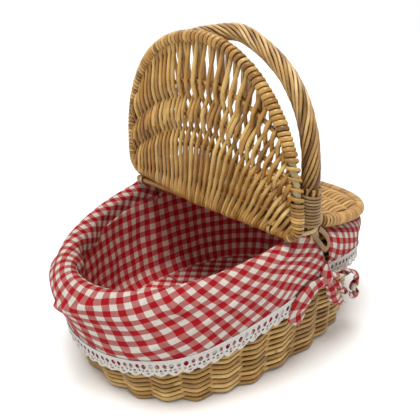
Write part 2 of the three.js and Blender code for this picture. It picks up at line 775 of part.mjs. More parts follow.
function addCuff(name, cuff) {
  const outer = clothGrid(cuff, cuffSection(CLOTH_GAP + CLOTH, cuff.drop));
  addPart(`${name}_cuff`, slab(outer, clothGrid(cuff, cuffSection(CLOTH_GAP, cuff.drop))), GINGHAM);
  const lace = clothGrid(cuff, laceSection(CLOTH_GAP + LACE, cuff.drop));
  addPart(`${name}_lace`, slab(lace, clothGrid(cuff, laceSection(CLOTH_GAP, cuff.drop))), COTTON);
}

addPart('liner_bag', linerBag(), GINGHAM);
addCuff('front', FRONT_CUFF);
addCuff('rear', REAR_CUFF);

// Cloth ties: each strip is a row of [along the wall, depth below the rim, half width] stations

// Out to the outside of the front cuff, at its end or on the crest of a fold.
function cuffOut(along, depth) {
  return BORDER_RADIUS + CLOTH_GAP + CLOTH + hangAt(along, depth, FRONT_CUFF_DROP);
}

function outsidePoint(side, x, depth, out) {
  return rimPoint(angleAtX(drawnIn(x, out), side), depth, out);
}

function tiePoint(side, x, depth, lift) {
  const foldCrest = 0.5 / FOLDS;
  return outsidePoint(side, x, depth, cuffOut(foldCrest, depth) + lift);
}

function tieStrip(side, stations) {
  const grid = (lift) => stations.map(([x, depth, half], i) => {
    const [before, after] = [stations[Math.max(i - 1, 0)], stations[Math.min(i + 1, stations.length - 1)]];
    const run = new THREE.Vector2(after[0] - before[0], after[1] - before[1]).normalize();
    return [-half, half].map((w) => tiePoint(side, x - run.y * w, depth + run.x * w, lift));
  });
  return slab(grid(TIE_OUT + TIE), grid(TIE_OUT));
}

const knotEdge = KNOT_RADIUS + CLEARANCE;
const knotLift = Math.sqrt(Math.max(KNOT_RADIUS ** 2 - CUFF_WAIST ** 2, 0));

// A strip's first station, on the knot's edge in the direction given in degrees below level.
function fromKnot(degreesDown, half) {
  const angle = THREE.MathUtils.degToRad(degreesDown);
  return [KNOT_X + knotEdge * Math.cos(angle), KNOT_DEPTH + knotEdge * Math.sin(angle), half];
}

// The rest of a strip's stations, from shares of its reach along the wall, its fall and its half width.
function strip(first, reach, fall, half, shares) {
  const rest = shares.map(([x, down, width]) => [KNOT_X + x * reach, KNOT_DEPTH + down * fall, width * half]);
  return [first, ...rest];
}

const FRONT_TAIL = strip(
  fromKnot(154, 0.36 * FRONT_TAIL_HALF), -FRONT_TAIL_REACH, FRONT_TAIL_FALL, FRONT_TAIL_HALF,
  [[0.45, 0.19, 0.65], [0.9, 0.45, 1], [1, 0.76, 0.65], [0.92, 1, 0.14]]);
const REAR_LOOP = strip(fromKnot(-10, 0.5 * REAR_LOOP_HALF), REAR_LOOP_REACH, REAR_LOOP_FALL, REAR_LOOP_HALF,
  [[0.35, -0.05, 0.83], [0.85, 0.35, 1], [1, 1, 0.83]]);
const REAR_TAIL = strip(fromKnot(40, 0.6 * REAR_TAIL_HALF), REAR_TAIL_REACH, REAR_TAIL_FALL, REAR_TAIL_HALF,
  [[0.42, 0.5, 0.8], [0.75, 0.8, 1], [1, 1, 0.6]]);

function addTies(name, side) {
  const knot = new THREE.SphereGeometry(KNOT_RADIUS, 16, 12);
  const centre = outsidePoint(side, KNOT_X, KNOT_DEPTH, cuffOut(0, KNOT_DEPTH) + knotLift);
  addPart(`${name}_tie_knot`, knot.translate(...centre), GINGHAM);
  addPart(`${name}_tie_front_tail`, tieStrip(side, FRONT_TAIL), GINGHAM);
  addPart(`${name}_tie_rear_loop`, tieStrip(side, REAR_LOOP), GINGHAM);
  addPart(`${name}_tie_rear_tail`, tieStrip(side, REAR_TAIL), GINGHAM);
}

addTies('near', NEAR);
addTies('far', FAR);

export default basket;
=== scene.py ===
"""Oval willow picnic basket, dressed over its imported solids.

The frame is in metres, +Z up, +X towards the closed rear lid, with the handle spanning Y. The classes hold
their sizes in millimetres, as the solids do, and every mesh is made in metres at the place it rests.
"""

import logging
import math
from collections.abc import Sequence
from dataclasses import dataclass, field
from enum import Enum
from typing import Any

import bpy
import numpy as np
from mathutils import Matrix, Vector

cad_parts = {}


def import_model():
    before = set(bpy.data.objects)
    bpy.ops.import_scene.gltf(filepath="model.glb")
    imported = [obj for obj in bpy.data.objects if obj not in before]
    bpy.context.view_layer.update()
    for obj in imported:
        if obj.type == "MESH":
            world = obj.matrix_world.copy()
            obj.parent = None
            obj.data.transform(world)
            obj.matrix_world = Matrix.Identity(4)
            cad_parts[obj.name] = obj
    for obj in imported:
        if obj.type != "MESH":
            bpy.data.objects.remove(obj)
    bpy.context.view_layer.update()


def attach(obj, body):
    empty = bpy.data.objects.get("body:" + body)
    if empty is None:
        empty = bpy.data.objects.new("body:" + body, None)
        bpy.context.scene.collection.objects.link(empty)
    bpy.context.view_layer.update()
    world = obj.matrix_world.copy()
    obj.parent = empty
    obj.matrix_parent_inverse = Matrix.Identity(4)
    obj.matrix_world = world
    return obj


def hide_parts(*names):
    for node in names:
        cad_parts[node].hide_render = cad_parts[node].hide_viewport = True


LOG = logging.getLogger("picnic_basket")
MM = 0.001
TURN = 2 * np.pi
# Depth of the solids' open lid, whose edge rests on the handle.
SOLID_LID_DEPTH = 169.0
Array = np.ndarray
Socket = bpy.types.NodeSocket
Inputs = dict[str | int, Any]


class Side(Enum):
    """The two feet of the handle; the near one shows in the photograph."""

    NEAR = -1
    FAR = 1


class End(Enum):
    """The two ends of the basket, under the open and the closed lid."""

    FRONT = -1
    REAR = 1


def label(choice: Enum) -> str:
    """The name of a side or an end, as the pieces' names use it."""
    return choice.name.lower()


# Number helpers


def linear(colour: str) -> tuple[float, float, float, float]:
    """Turns an sRGB hex colour into linear red, green and blue with full alpha."""
    shares = [int(colour[i:i + 2], 16) / 255 for i in (1, 3, 5)]
    red, green, blue = [s / 12.92 if s <= 0.04045 else ((s + 0.055) / 1.055) ** 2.4 for s in shares]
    return red, green, blue, 1.0


def lerp(a: Any, b: Any, share: Any) -> Any:
    """The value at a share of the way from a to b."""
    return a + (b - a) * share


def ramp(value: Any, start: float, run: float) -> Any:
    """Rises from 0 to 1 over a run that begins at a start."""
    return np.clip((value - start) / run, 0, 1)


def bell(value: Any, width: Any) -> Any:
    """Falls from 1 at zero to nothing a few widths away."""
    return np.exp(-(value / width) ** 2)


def join(*parts: Any) -> Array:
    """Places from their coordinates, each a single value or an array that fits the others."""
    return np.stack(np.broadcast_arrays(*parts), -1)


def unit(vectors: Array) -> Array:
    """Rows scaled to length one."""
    return vectors / np.maximum(np.linalg.norm(vectors, axis=-1, keepdims=True), 1e-12)


def tangents(points: Array) -> Array:
    """Unit directions along a row of points."""
    return unit(np.gradient(points, axis=0))


def path_lengths(points: Array) -> Array:
    """Distance along an open row of points, starting at zero."""
    return np.concatenate([[0.0], np.cumsum(np.linalg.norm(np.diff(points, axis=0), axis=1))])


def along_path(points: Array, lengths: Array, wanted: Array) -> Array:
    """The places at wanted lengths along a row of points."""
    return np.stack([np.interp(wanted, lengths, points[:, k]) for k in range(points.shape[1])], 1)


def resample(points: Array, count: int) -> Array:
    """A count of points at equal distances along a row, ends included."""
    lengths = path_lengths(points)
    return along_path(points, lengths, np.linspace(0, lengths[-1], count))


def smoothed(values: Array, width: int) -> Array:
    """A moving mean over an odd width."""
    return np.convolve(np.pad(values, width // 2, "edge"), np.ones(width) / width, "valid")


def superellipse(angle: Array, roundness: Any) -> tuple[Array, Array]:
    """A place on a unit superellipse, whose roundness of 2 is a circle."""
    power = 2 / roundness
    cos, sin = np.cos(angle), np.sin(angle)
    return np.sign(cos) * np.abs(cos) ** power, np.sign(sin) * np.abs(sin) ** power


def catmull_rom(points: Array, per_span: int) -> Array:
    """A centripetal spline through points, ends included, with a number of steps between two points."""
    ends = [2 * points[0] - points[1], *points, 2 * points[-1] - points[-2]]
    share = np.linspace(0, 1, per_span, endpoint=False)[:, None]
    result = []
    for p0, p1, p2, p3 in zip(ends, ends[1:], ends[2:], ends[3:]):
        d0, d1, d2 = (math.sqrt(np.linalg.norm(b - a)) for a, b in ((p0, p1), (p1, p2), (p2, p3)))
        t1 = ((p1 - p0) / d0 - (p2 - p0) / (d0 + d1) + (p2 - p1) / d1) * d1
        t2 = ((p2 - p1) / d1 - (p3 - p1) / (d1 + d2) + (p3 - p2) / d2) * d1
        cubic = 2 * p1 - 2 * p2 + t1 + t2
        square = -3 * p1 + 3 * p2 - 2 * t1 - t2
        result.append(p1 + t1 * share + square * share ** 2 + cubic * share ** 3)
    return np.concatenate([*result, points[-1:]])


def smooth_noise(place: Array, seed: int) -> Array:
    """A smooth irregular wave between about -1 and 1, over places in wavelengths of its slowest part."""
    rng = np.random.default_rng(seed)
    total = np.zeros_like(place, dtype=float)
    for octave in range(4):
        rate = 1.0 + 0.83 * octave + 0.3 * rng.random()
        total += np.sin(TURN * (place * rate + rng.random())) / (1 + octave)
    return total / 1.6


def surface_noise(a: Array, b: Array, seed: int) -> Array:
    """A smooth irregular relief between about -1 and 1, over two distances in wavelengths."""
    rng = np.random.default_rng(seed)
    waves = 9
    total = np.zeros(np.broadcast(a, b).shape)
    for _ in range(waves):
        turn = rng.uniform(0, TURN)
        rate = rng.uniform(0.5, 1.6)
        phase = rng.uniform(0, TURN)
        total = total + np.sin(TURN * rate * (a * np.cos(turn) + b * np.sin(turn)) + phase)
    return total / math.sqrt(waves)


# Node helpers


@dataclass
class Graph:
    """A node tree that is being built."""

    tree: bpy.types.NodeTree

    def feed(self, node: bpy.types.Node, inputs: Inputs) -> None:
        """Sets a node's inputs, by name or number, to values or links them to sockets."""
        for key, value in inputs.items():
            if isinstance(value, Socket):
                self.tree.links.new(value, node.inputs[key])
            else:
                node.inputs[key].default_value = value

    def node(self, kind: str, inputs: Inputs | None = None, **settings: Any) -> bpy.types.Node:
        """Adds a node.

        Args:
            kind: Blender's name of the node type.
            inputs: A value, or a socket to link, for each input by name or number.
            settings: Properties of the node.

        Returns:
            The new node.
        """
        node = self.tree.nodes.new(kind)
        for key, value in settings.items():
            setattr(node, key, value)
        self.feed(node, inputs or {})
        return node

    def out(self, kind: str, inputs: Inputs | None = None, **settings: Any) -> Socket:
        """The first output of a new node."""
        return self.node(kind, inputs, **settings).outputs[0]

    def calc(self, operation: str, *values: Any, clamp: bool = False) -> Socket:
        """The result of arithmetic on values or sockets."""
        return self.out("ShaderNodeMath", dict(enumerate(values)), operation=operation, use_clamp=clamp)

    def vector(self, operation: str, inputs: Inputs) -> Socket:
        """The result of arithmetic on vectors."""
        return self.out("ShaderNodeVectorMath", inputs, operation=operation)

    def noise(self, place: Socket, size_mm: float, detail: float, rough: float = 0.5) -> Any:
        """The named outputs of a noise whose blotches have a real size."""
        inputs = {"Vector": place, "Scale": 1 / (size_mm * MM), "Detail": detail, "Roughness": rough}
        return self.node("ShaderNodeTexNoise", inputs).outputs

    def cells(self, place: Socket, size_mm: float) -> Socket:
        """Distance to the nearest of scattered points that lie about a real size apart."""
        return self.out("ShaderNodeTexVoronoi", {"Vector": place, "Scale": 1 / (size_mm * MM)})

    def remap(self, value: Any, old: tuple[float, float], new: tuple[float, float]) -> Socket:
        """Turns a value's old range into a new one."""
        return self.out("ShaderNodeMapRange", {"Value": value, "From Min": old[0], "From Max": old[1],
                                               "To Min": new[0], "To Max": new[1]})

    def blend(self, share: Socket, first: Any, second: Any) -> Socket:
        """A colour a share of the way from the first to the second."""
        inputs = {"Factor": share, 6: first, 7: second}
        return self.node("ShaderNodeMix", inputs, data_type="RGBA").outputs[2]

    def bump(self, height: Socket, strength: float, deep_mm: float, invert: bool = False) -> Socket:
        """The normal of a fine relief."""
        inputs = {"Height": height, "Strength": strength, "Distance": deep_mm * MM}
        return self.out("ShaderNodeBump", inputs, invert=invert)


def new_material(name: str) -> tuple[bpy.types.Material, Graph, bpy.types.Node]:
    """A new material, its graph and its shader."""
    material = bpy.data.materials.new(name)
    material.use_nodes = True
    return material, Graph(material.node_tree), material.node_tree.nodes["Principled BSDF"]


# Finishes


@dataclass(frozen=True)
class WillowFinish:
    """Peeled willow under thin varnish: honey rods, each of its own shade, with grain and dark knots.

    Painted shade, with some dust, darkens the grooves where the rods lie against each other, the more the
    closer other rods hem them in.
    """

    name: str
    dark: str
    middle: str
    light: str
    roughness: float = 0.5
    blotch_mm: float = 14.0
    grain_mm: float = 1.3
    knot_mm: float = 24.0
    knot_colour: str = "#4a2c12"
    groove_mm: float = 4.0
    dust_and_shade_colour: str = "#2c1808"
    dust_and_shade: float = 0.9
    varnish: float = 0.12

    def material(self) -> bpy.types.Material:
        """Builds the node material, whose tint attribute tells the rods apart."""
        material, graph, shader = new_material(self.name)
        where = graph.node("ShaderNodeTexCoord").outputs["Object"]
        tint = graph.node("ShaderNodeAttribute", attribute_name="tint").outputs["Fac"]
        blotch = graph.noise(where, self.blotch_mm, 3.0)["Fac"]
        grain = graph.noise(where, self.grain_mm, 2.0)["Fac"]
        level = graph.calc("ADD", tint, graph.calc("MULTIPLY_ADD", blotch, 0.55, -0.275))
        total = graph.calc("ADD", level, graph.calc("MULTIPLY_ADD", grain, 0.3, -0.15))
        shades = graph.node("ShaderNodeValToRGB", {"Fac": total})
        stops = shades.color_ramp.elements
        stops[0].position, stops[0].color = 0.08, linear(self.dark)
        stops[1].position, stops[1].color = 0.92, linear(self.light)
        stops.new(0.5).color = linear(self.middle)
        knot = graph.remap(graph.cells(where, self.knot_mm), (0.05, 0.11), (0.6, 0.0))
        colour = graph.blend(knot, shades.outputs["Color"], linear(self.knot_colour))
        # Painted shade and dust: the colour goes towards the dark groove colour where ambient occlusion finds
        # other rods close by.
        open_sky = graph.node("ShaderNodeAmbientOcclusion", {"Distance": self.groove_mm * MM}, samples=8)
        groove_dust_and_shade = graph.remap(open_sky.outputs["AO"], (0.2, 0.8), (self.dust_and_shade, 0.0))
        gloss = graph.remap(blotch, (0.3, 0.7), (self.roughness - 0.1, self.roughness + 0.1))
        graph.feed(shader, {"Base Color": graph.blend(groove_dust_and_shade, colour, linear(self.dust_and_shade_colour)),
                            "Roughness": gloss, "Normal": graph.bump(grain, 0.25, 0.3),
                            "Coat Weight": self.varnish, "Coat Roughness": 0.3})
        return material


@dataclass(frozen=True)
class GinghamFinish:
    """Plain-woven cotton and linen in red and off-white checks, matt, with slubby threads.

    Real threads are about half as wide as thread_mm, which is drawn coarser so that the weave shows.
    """

    name: str = "gingham linen"
    red: str = "#a00817"
    white: str = "#d2cabe"
    red_power: float = 0.36
    square_mm: float = 5.9
    thread_mm: float = 0.85
    slub_mm: float = 9.0
    waver_mm: float = 4.0
    waver_by_mm: float = 0.7

    def material(self) -> bpy.types.Material:
        material, graph, shader = new_material(self.name)
        flat = graph.out("ShaderNodeUVMap", uv_map="flat")
        waver = graph.noise(flat, self.waver_mm, 2.0)["Color"]
        shifted = graph.vector("MULTIPLY_ADD", {0: waver, 1: (self.waver_by_mm * MM,) * 3, 2: flat})
        place = graph.node("ShaderNodeSeparateXYZ", {"Vector": shifted}).outputs
        bands, threads = [], []
        for axis in ("X", "Y"):
            cycle = graph.calc("MULTIPLY", place[axis], 1 / (2 * self.square_mm * MM))
            bands.append(graph.calc("LESS_THAN", graph.calc("FRACT", cycle), 0.5))
            angle = graph.calc("MULTIPLY", place[axis], 2 * math.pi / (self.thread_mm * MM))
            threads.append(graph.calc("SINE", angle))
        weave = graph.calc("MULTIPLY", *threads)
        slub = graph.noise(flat, self.slub_mm, 4.0, 0.7)["Fac"]
        upper = graph.calc("MULTIPLY_ADD", weave, 0.24, 0.5)
        top = graph.calc("ADD", upper, graph.calc("MULTIPLY_ADD", slub, 0.5, -0.25), clamp=True)
        red_share = graph.out("ShaderNodeMix", {"Factor": top, 2: bands[0], 3: bands[1]}, data_type="FLOAT")
        strong = graph.calc("POWER", red_share, self.red_power)
        dyed = graph.blend(strong, linear(self.white), linear(self.red))
        # Painted shade and light: the slub noise scales the dyed colour darker and lighter in blotches.
        slub_shaded = graph.vector("SCALE", {0: dyed, "Scale": graph.remap(slub, (0.3, 0.7), (0.84, 1.06))})
        graph.feed(shader, {"Base Color": slub_shaded, "Normal": graph.bump(weave, 0.35, 0.2), "Roughness": 0.9,
                            "Specular IOR Level": 0.2})
        return material


@dataclass(frozen=True)
class CottonFinish:
    """White crochet cotton: matt, slightly warm, with twisted threads that give it a fine tooth."""

    name: str = "crochet cotton"
    white: str = "#dcd9d6"
    grey: str = "#bab6b1"
    thread_mm: float = 0.9

    def material(self) -> bpy.types.Material:
        """Builds the cotton on the lace's own flat coordinates."""
        material, graph, shader = new_material(self.name)
        knit = graph.cells(graph.out("ShaderNodeUVMap", uv_map="flat"), self.thread_mm)
        colour = graph.blend(knit, linear(self.white), linear(self.grey))
        graph.feed(shader, {"Base Color": colour, "Normal": graph.bump(knit, 0.5, 0.3, invert=True),
                            "Roughness": 0.9})
        return material


LID_WILLOW = WillowFinish("straw willow", "#5f390a", "#b78438", "#eac87a", 0.4)
REAR_WILLOW = WillowFinish("amber willow", "#694210", "#b98840", "#deb66e", 0.46)
WALL_WILLOW = WillowFinish("honey willow", "#6b4614", "#ba8d44", "#e8c47c", 0.44)
HANDLE_WILLOW = WillowFinish("twisted willow", "#5f3a0c", "#bd9050", "#efd094", 0.4)
# Some bark is left on the lids' bows, so they are greener than the rest.
BOW_WILLOW = WillowFinish("half-peeled willow", "#7d7040", "#b0a070", "#d3c79c", 0.5)
# The core shows only between the twisted rods, where its dark colours are painted shade.
SHADED_CORE_WILLOW = WillowFinish("shaded core willow", "#2e1c0c", "#4a3015", "#5e4020", 0.6)
# Cane is split from a smoother stem, with few knots; that of the bindings has weathered darker.
CANE = WillowFinish("split cane", "#9a7a48", "#c2a06a", "#dcc290", 0.4, knot_mm=60.0)
BINDING_CANE = WillowFinish("weathered cane", "#5c3f18", "#977341", "#bd9c66", 0.42, knot_mm=60.0)
GINGHAM = GinghamFinish()
# The lining is kept from the light, so its red is fuller and its white less greyed.
LINING = GinghamFinish("unfaded gingham linen", red="#b80a1c", white="#e4d4c8", red_power=0.32)
COTTON = CottonFinish()


# Swept rods and sheets


@dataclass
class Rod:
    """A rod or cane as a path to sweep.

    Attributes:
        points: The middle of the rod, in millimetres.
        radius: Half its thickness, one value or one for each point.
        tint: How light it is, one value or one for each point.
        closed: Whether the path is a ring.
        facing: The way its flat side looks at each point, for flat canes.
    """

    points: Array
    radius: Any
    tint: Any = 0.5
    closed: bool = False
    facing: Array | None = None


SWEEP_INPUTS = {"Geometry": "Geometry", "Sides": "Int", "Flatness": "Float", "Wander": "Float",
                "Wander Size": "Float", "Unevenness": "Float", "Seed": "Float", "Material": "Material"}


def sweep_tree(flat: bool) -> bpy.types.GeometryNodeTree:
    """Builds the node tree that sweeps a section along every edge path of a guide mesh.

    Args:
        flat: Whether the sections keep to the guide's facing directions.

    Returns:
        The tree, with named inputs for its sizes.
    """
    tree = bpy.data.node_groups.new("flat rods" if flat else "round rods", "GeometryNodeTree")
    for name, kind in SWEEP_INPUTS.items():
        tree.interface.new_socket(name, in_out="INPUT", socket_type=f"NodeSocket{kind}")
    tree.interface.new_socket("Geometry", in_out="OUTPUT", socket_type="NodeSocketGeometry")
    graph = Graph(tree)
    given = graph.node("NodeGroupInput").outputs
    stray = {"Vector": graph.out("GeometryNodeInputPosition"), "W": given["Seed"],
             "Scale": graph.calc("DIVIDE", 1.0, given["Wander Size"]), "Detail": 1.0}
    noise = graph.node("ShaderNodeTexNoise", stray, noise_dimensions="4D").outputs
    swing = graph.vector("SUBTRACT", {0: noise["Color"], 1: (0.5, 0.5, 0.5)})
    offset = graph.vector("SCALE", {0: swing, "Scale": given["Wander"]})
    moved = graph.out("GeometryNodeSetPosition", {"Geometry": given["Geometry"], "Offset": offset})
    curve = graph.out("GeometryNodeMeshToCurve", {"Mesh": moved})
    if flat:
        facing = graph.out("GeometryNodeInputNamedAttribute", {"Name": "facing"}, data_type="FLOAT_VECTOR")
        curve = graph.out("GeometryNodeSetCurveNormal", {"Curve": curve, "Normal": facing}, mode="FREE")
    ring = graph.out("GeometryNodeCurvePrimitiveCircle", {"Resolution": given["Sides"], "Radius": 1.0},
                     mode="RADIUS")
    shape = graph.out("ShaderNodeCombineXYZ", {"X": given["Flatness"], "Y": 1.0, "Z": 1.0})
    profile = graph.out("GeometryNodeTransform", {"Geometry": ring, "Scale": shape})
    radius = graph.out("GeometryNodeInputNamedAttribute", {"Name": "rod_radius"}, data_type="FLOAT")
    swell = graph.calc("SUBTRACT", noise["Fac"], 0.5)
    scale = graph.calc("MULTIPLY", radius, graph.calc("MULTIPLY_ADD", swell, given["Unevenness"], 1.0))
    swept = graph.out("GeometryNodeCurveToMesh", {"Curve": curve, "Profile Curve": profile, "Scale": scale,
                                                  "Fill Caps": True})
    smooth = graph.out("GeometryNodeSetShadeSmooth", {"Geometry": swept})
    real = graph.out("GeometryNodeRealizeInstances", {"Geometry": smooth})
    dressed = graph.out("GeometryNodeSetMaterial", {"Geometry": real, "Material": given["Material"]})
    graph.node("NodeGroupOutput", {0: dressed})
    return tree


def rod_guide(name: str, rods: Sequence[Rod]) -> bpy.types.Mesh:
    """Makes the mesh of edge paths, in metres, with each rod's radius, tint and facing on its vertices."""
    points, edges, radii, tints, facings = [], [], [], [], []
    start = 0
    for rod in rods:
        count = len(rod.points)
        index = np.arange(start, start + count)
        run = np.stack([index, np.roll(index, -1)], 1)
        edges.append(run if rod.closed else run[:-1])
        points.append(rod.points * MM)
        radii.append(np.broadcast_to(np.asarray(rod.radius, float) * MM, (count,)))
        tints.append(np.broadcast_to(np.asarray(rod.tint, float), (count,)))
        facings.append(np.zeros((count, 3)) if rod.facing is None else rod.facing)
        start += count
    mesh = bpy.data.meshes.new(name)
    mesh.from_pydata(np.concatenate(points).tolist(), np.concatenate(edges).tolist(), [])
    layers = (("rod_radius", "FLOAT", "value", radii), ("tint", "FLOAT", "value", tints),
              ("facing", "FLOAT_VECTOR", "vector", facings))
    for title, kind, key, values in layers:
        data = np.ascontiguousarray(np.concatenate(values), dtype=np.float32)
        mesh.attributes.new(title, kind, "POINT").data.foreach_set(key, data.ravel())
    return mesh


def link_object(name: str, data: bpy.types.ID) -> bpy.types.Object:
    """Puts a mesh, a camera or a lamp into the scene as an object at the origin."""
    piece = bpy.data.objects.new(name, data)
    bpy.context.collection.objects.link(piece)
    return piece


def unwrap_seam(corners: Array, length: float) -> Array:
    """Carries the flat coordinate on past the seam of a closed sheet.

    Args:
        corners: Faces by four corners of flat coordinates, in metres.
        length: The flat coordinate of the last column.

    Returns:
        The corners, with the seam's faces unbroken.
    """
    step = length / max(len(np.unique(corners[:, 0, 0])) - 1, 1)
    jump = corners[:, :, 0].max(1) - corners[:, :, 0].min(1) > length / 2
    low = corners[:, :, 0] < length / 2
    corners[..., 0] = np.where(jump[:, None] & low, length + step, corners[..., 0])
    return corners


@dataclass
class Workshop:
    """Sweeps rods, makes sheets and signs the finished pieces to their bodies.

    Attributes:
        materials: The materials by finish name.
        trees: The sweep trees of round and of flat sections.
    """

    materials: dict[str, bpy.types.Material] = field(default_factory=dict)
    trees: dict[bool, bpy.types.GeometryNodeTree] = field(default_factory=dict)

    def material(self, finish: Any) -> bpy.types.Material:
        """The material of a finish, built on first use."""
        if finish.name not in self.materials:
            self.materials[finish.name] = finish.material()
        return self.materials[finish.name]

    @staticmethod
    def sign(piece: bpy.types.Object, body: str, slot: str, *nodes: str) -> bpy.types.Object:
        """Fastens a piece to its body and hides the solids that it stands for."""
        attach(piece, body)
        if nodes:
            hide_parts(*nodes)
        LOG.info("%s: %d faces on %s", piece.name, len(piece.data.polygons), body)
        return piece

    def sweep(self, name: str, rods: Sequence[Rod], finish: Any, tag: Sequence[str], sides: int = 7,
              flatness: float = 1.0, wander: float = 0.0, wander_size: float = 25.0, unevenness: float = 0.0,
              seed: int = 0) -> None:
        """Sweeps rods into one plain mesh object.

        Args:
            name: The piece's name.
            rods: The rods to sweep.
            finish: The finish of the piece.
            tag: Its body, its slot and the solids that it stands for.
            sides: How many sides a section has.
            flatness: Thickness over width, for rods with a facing.
            wander: How far a path strays, in millimetres.
            wander_size: Over what length it strays, in millimetres.
            unevenness: The share by which the thickness varies.
            seed: Picks the irregularities.
        """
        flat = rods[0].facing is not None
        if flat not in self.trees:
            self.trees[flat] = sweep_tree(flat)
        tree = self.trees[flat]
        guide = link_object(f"{name}_guide", rod_guide(f"{name}_guide", rods))
        modifier = guide.modifiers.new("sweep", "NODES")
        modifier.node_group = tree
        material = self.material(finish)
        values = {"Sides": sides, "Flatness": flatness, "Wander": 2 * wander * MM,
                  "Wander Size": wander_size * MM, "Unevenness": unevenness, "Seed": float(seed),
                  "Material": material}
        for item in tree.interface.items_tree:
            if item.in_out == "INPUT" and item.name in values:
                modifier[item.identifier] = values[item.name]
        mesh = bpy.data.meshes.new_from_object(guide.evaluated_get(bpy.context.evaluated_depsgraph_get()))
        mesh.name = name
        mesh.materials.clear()
        mesh.materials.append(material)
        guide_mesh = guide.data
        bpy.data.objects.remove(guide)
        bpy.data.meshes.remove(guide_mesh)
        self.sign(link_object(name, mesh), *tag)

    def sheet(self, name: str, points: Array, flat: Array, finish: Any, thickness: float, tag: Sequence[str],
              keep: Array | None = None, closed: bool = False) -> bpy.types.Object:
        """Makes a thin sheet from a grid of points.

        Args:
            name: The piece's name.
            points: Rows by columns of places, in millimetres.
            flat: Rows by columns of places on the flat cloth, in millimetres.
            finish: The finish of the piece.
            thickness: The cloth's thickness, in millimetres.
            tag: Its body, its slot and the solids that it stands for.
            keep: Which cells of the grid are kept; all if not given.
            closed: Whether the last column joins the first.

        Returns:
            The finished object.
        """
        rows, columns = points.shape[:2]
        across = columns if closed else columns - 1
        index = np.arange(rows * columns).reshape(rows, columns)
        right = np.roll(index, -1, 1)[:, :across]
        left = index[:, :across]
        quads = np.stack([left[:-1], right[:-1], right[1:], left[1:]], -1).reshape(-1, 4)
        if keep is not None:
            quads = quads[keep.reshape(-1)]
        used, inverse = np.unique(quads, return_inverse=True)
        mesh = bpy.data.meshes.new(name)
        mesh.from_pydata((points.reshape(-1, 3)[used] * MM).tolist(), [], inverse.reshape(-1, 4).tolist())
        corners = flat.reshape(-1, 2)[quads.reshape(-1)] * MM
        if closed:
            corners = unwrap_seam(corners.reshape(-1, 4, 2), flat[:, -1, 0].max() * MM)
        layer = mesh.uv_layers.new(name="flat")
        layer.data.foreach_set("uv", np.ascontiguousarray(corners, dtype=np.float32).ravel())
        mesh.polygons.foreach_set("use_smooth", np.ones(len(mesh.polygons), dtype=bool))
        mesh.materials.append(self.material(finish))
        piece = link_object(name, mesh)
        solid = piece.modifiers.new("thickness", "SOLIDIFY")
        solid.thickness = thickness * MM
        solid.offset = 0.0
        smooth = piece.modifiers.new("smooth", "SUBSURF")
        smooth.levels = 1
        smooth.render_levels = 1
        return self.sign(piece, *tag)


# Woven body


@dataclass(frozen=True)
class BodyForm:
    """The oval that the wall, rim and liner follow; half sizes are to the middle of the wall."""

    rim_half_length: float = 170.0
    rim_half_width: float = 122.0
    rim_roundness: float = 2.1
    base_half_length: float = 155.0
    base_half_width: float = 113.0
    base_roundness: float = 2.5
    wall_curve: float = 1.45
    wall: float = 12.0
    ridge_z: float = 147.0
    rim_fall: float = 0.195
    ridge_rounding: float = 20.0
    border_radius: float = 6.0
    base_thickness: float = 10.0

    def rim_z(self, x: Array) -> Array:
        """Height of the rim, which falls from the handle to both ends."""
        return self.ridge_z - self.rim_fall * np.hypot(x, self.ridge_rounding)

    def oval(self, angle: Array, share: Array, out: Array) -> tuple[Array, Array]:
        """Place on the oval at a share of the rim's height.

        Args:
            angle: Round the oval from +X.
            share: Height as a share of the rim's.
            out: Distance out from the middle of the wall.

        Returns:
            The x and y there.
        """
        share = np.clip(share, 0.0, 1.0)
        grown = 1 - (1 - share) ** self.wall_curve
        x, y = superellipse(angle, lerp(self.base_roundness, self.rim_roundness, share))
        half_length = lerp(self.base_half_length, self.rim_half_length, grown) + out
        half_width = lerp(self.base_half_width, self.rim_half_width, grown) + out
        return half_length * x, half_width * y

    def at_share(self, angle: Array, share: Array, out: Array) -> Array:
        """A place at a share of the rim's height, out from the middle of the wall."""
        middle, _ = self.oval(angle, share, 0.0)
        x, y = self.oval(angle, share, out)
        return join(x, y, share * self.rim_z(middle))

    def at_height(self, angle: Array, z: Array, out: Array) -> Array:
        """A place at a level height, out from the middle of the wall."""
        x, y = self.oval(angle, z / self.top(angle), out)
        return join(x, y, z)

    def at_depth(self, angle: Array, depth: Array, out: Array) -> Array:
        """A place at a depth below the rim, out from the middle of the wall."""
        return self.at_height(angle, self.top(angle) - depth, out)

    def top(self, angle: Array) -> Array:
        """Height of the rim at an angle."""
        return self.rim_z(self.oval(angle, 1.0, 0.0)[0])

    def angle_at_x(self, x: Array, side: int) -> Array:
        """The angle at which the rim passes an x, on the side given by its sign."""
        share = np.asarray(x) / self.rim_half_length
        return side * np.arccos(np.sign(share) * np.abs(share) ** (self.rim_roundness / 2))


class RimWalk:
    """Angles on the oval by the share of the way round the rim, from the far foot of the handle."""

    def __init__(self, form: BodyForm) -> None:
        """Measures the rim in fine steps."""
        self.angles = np.linspace(0.5 * np.pi, 2.5 * np.pi, 2881)
        self.lengths = path_lengths(form.at_share(self.angles, np.ones_like(self.angles), 0.0))
        self.total = self.lengths[-1]

    def angle(self, share: Array) -> Array:
        """The angle at a share of the way round."""
        return np.interp(np.mod(share * self.total, self.total), self.lengths, self.angles)


def patchy_tint(rng: np.random.Generator, count: int, patches: int, low: float, high: float) -> Array:
    """Tints along a row that is pieced together from several rods.

    Args:
        rng: Source of chance.
        count: How many points the row has.
        patches: How many rods it is pieced from.
        low: Darkest tint.
        high: Lightest tint.

    Returns:
        A tint for each point.
    """
    ends = np.sort(rng.integers(0, count, patches))
    tints = rng.uniform(low, high, patches)
    return tints[np.searchsorted(ends, np.arange(count)) % patches]


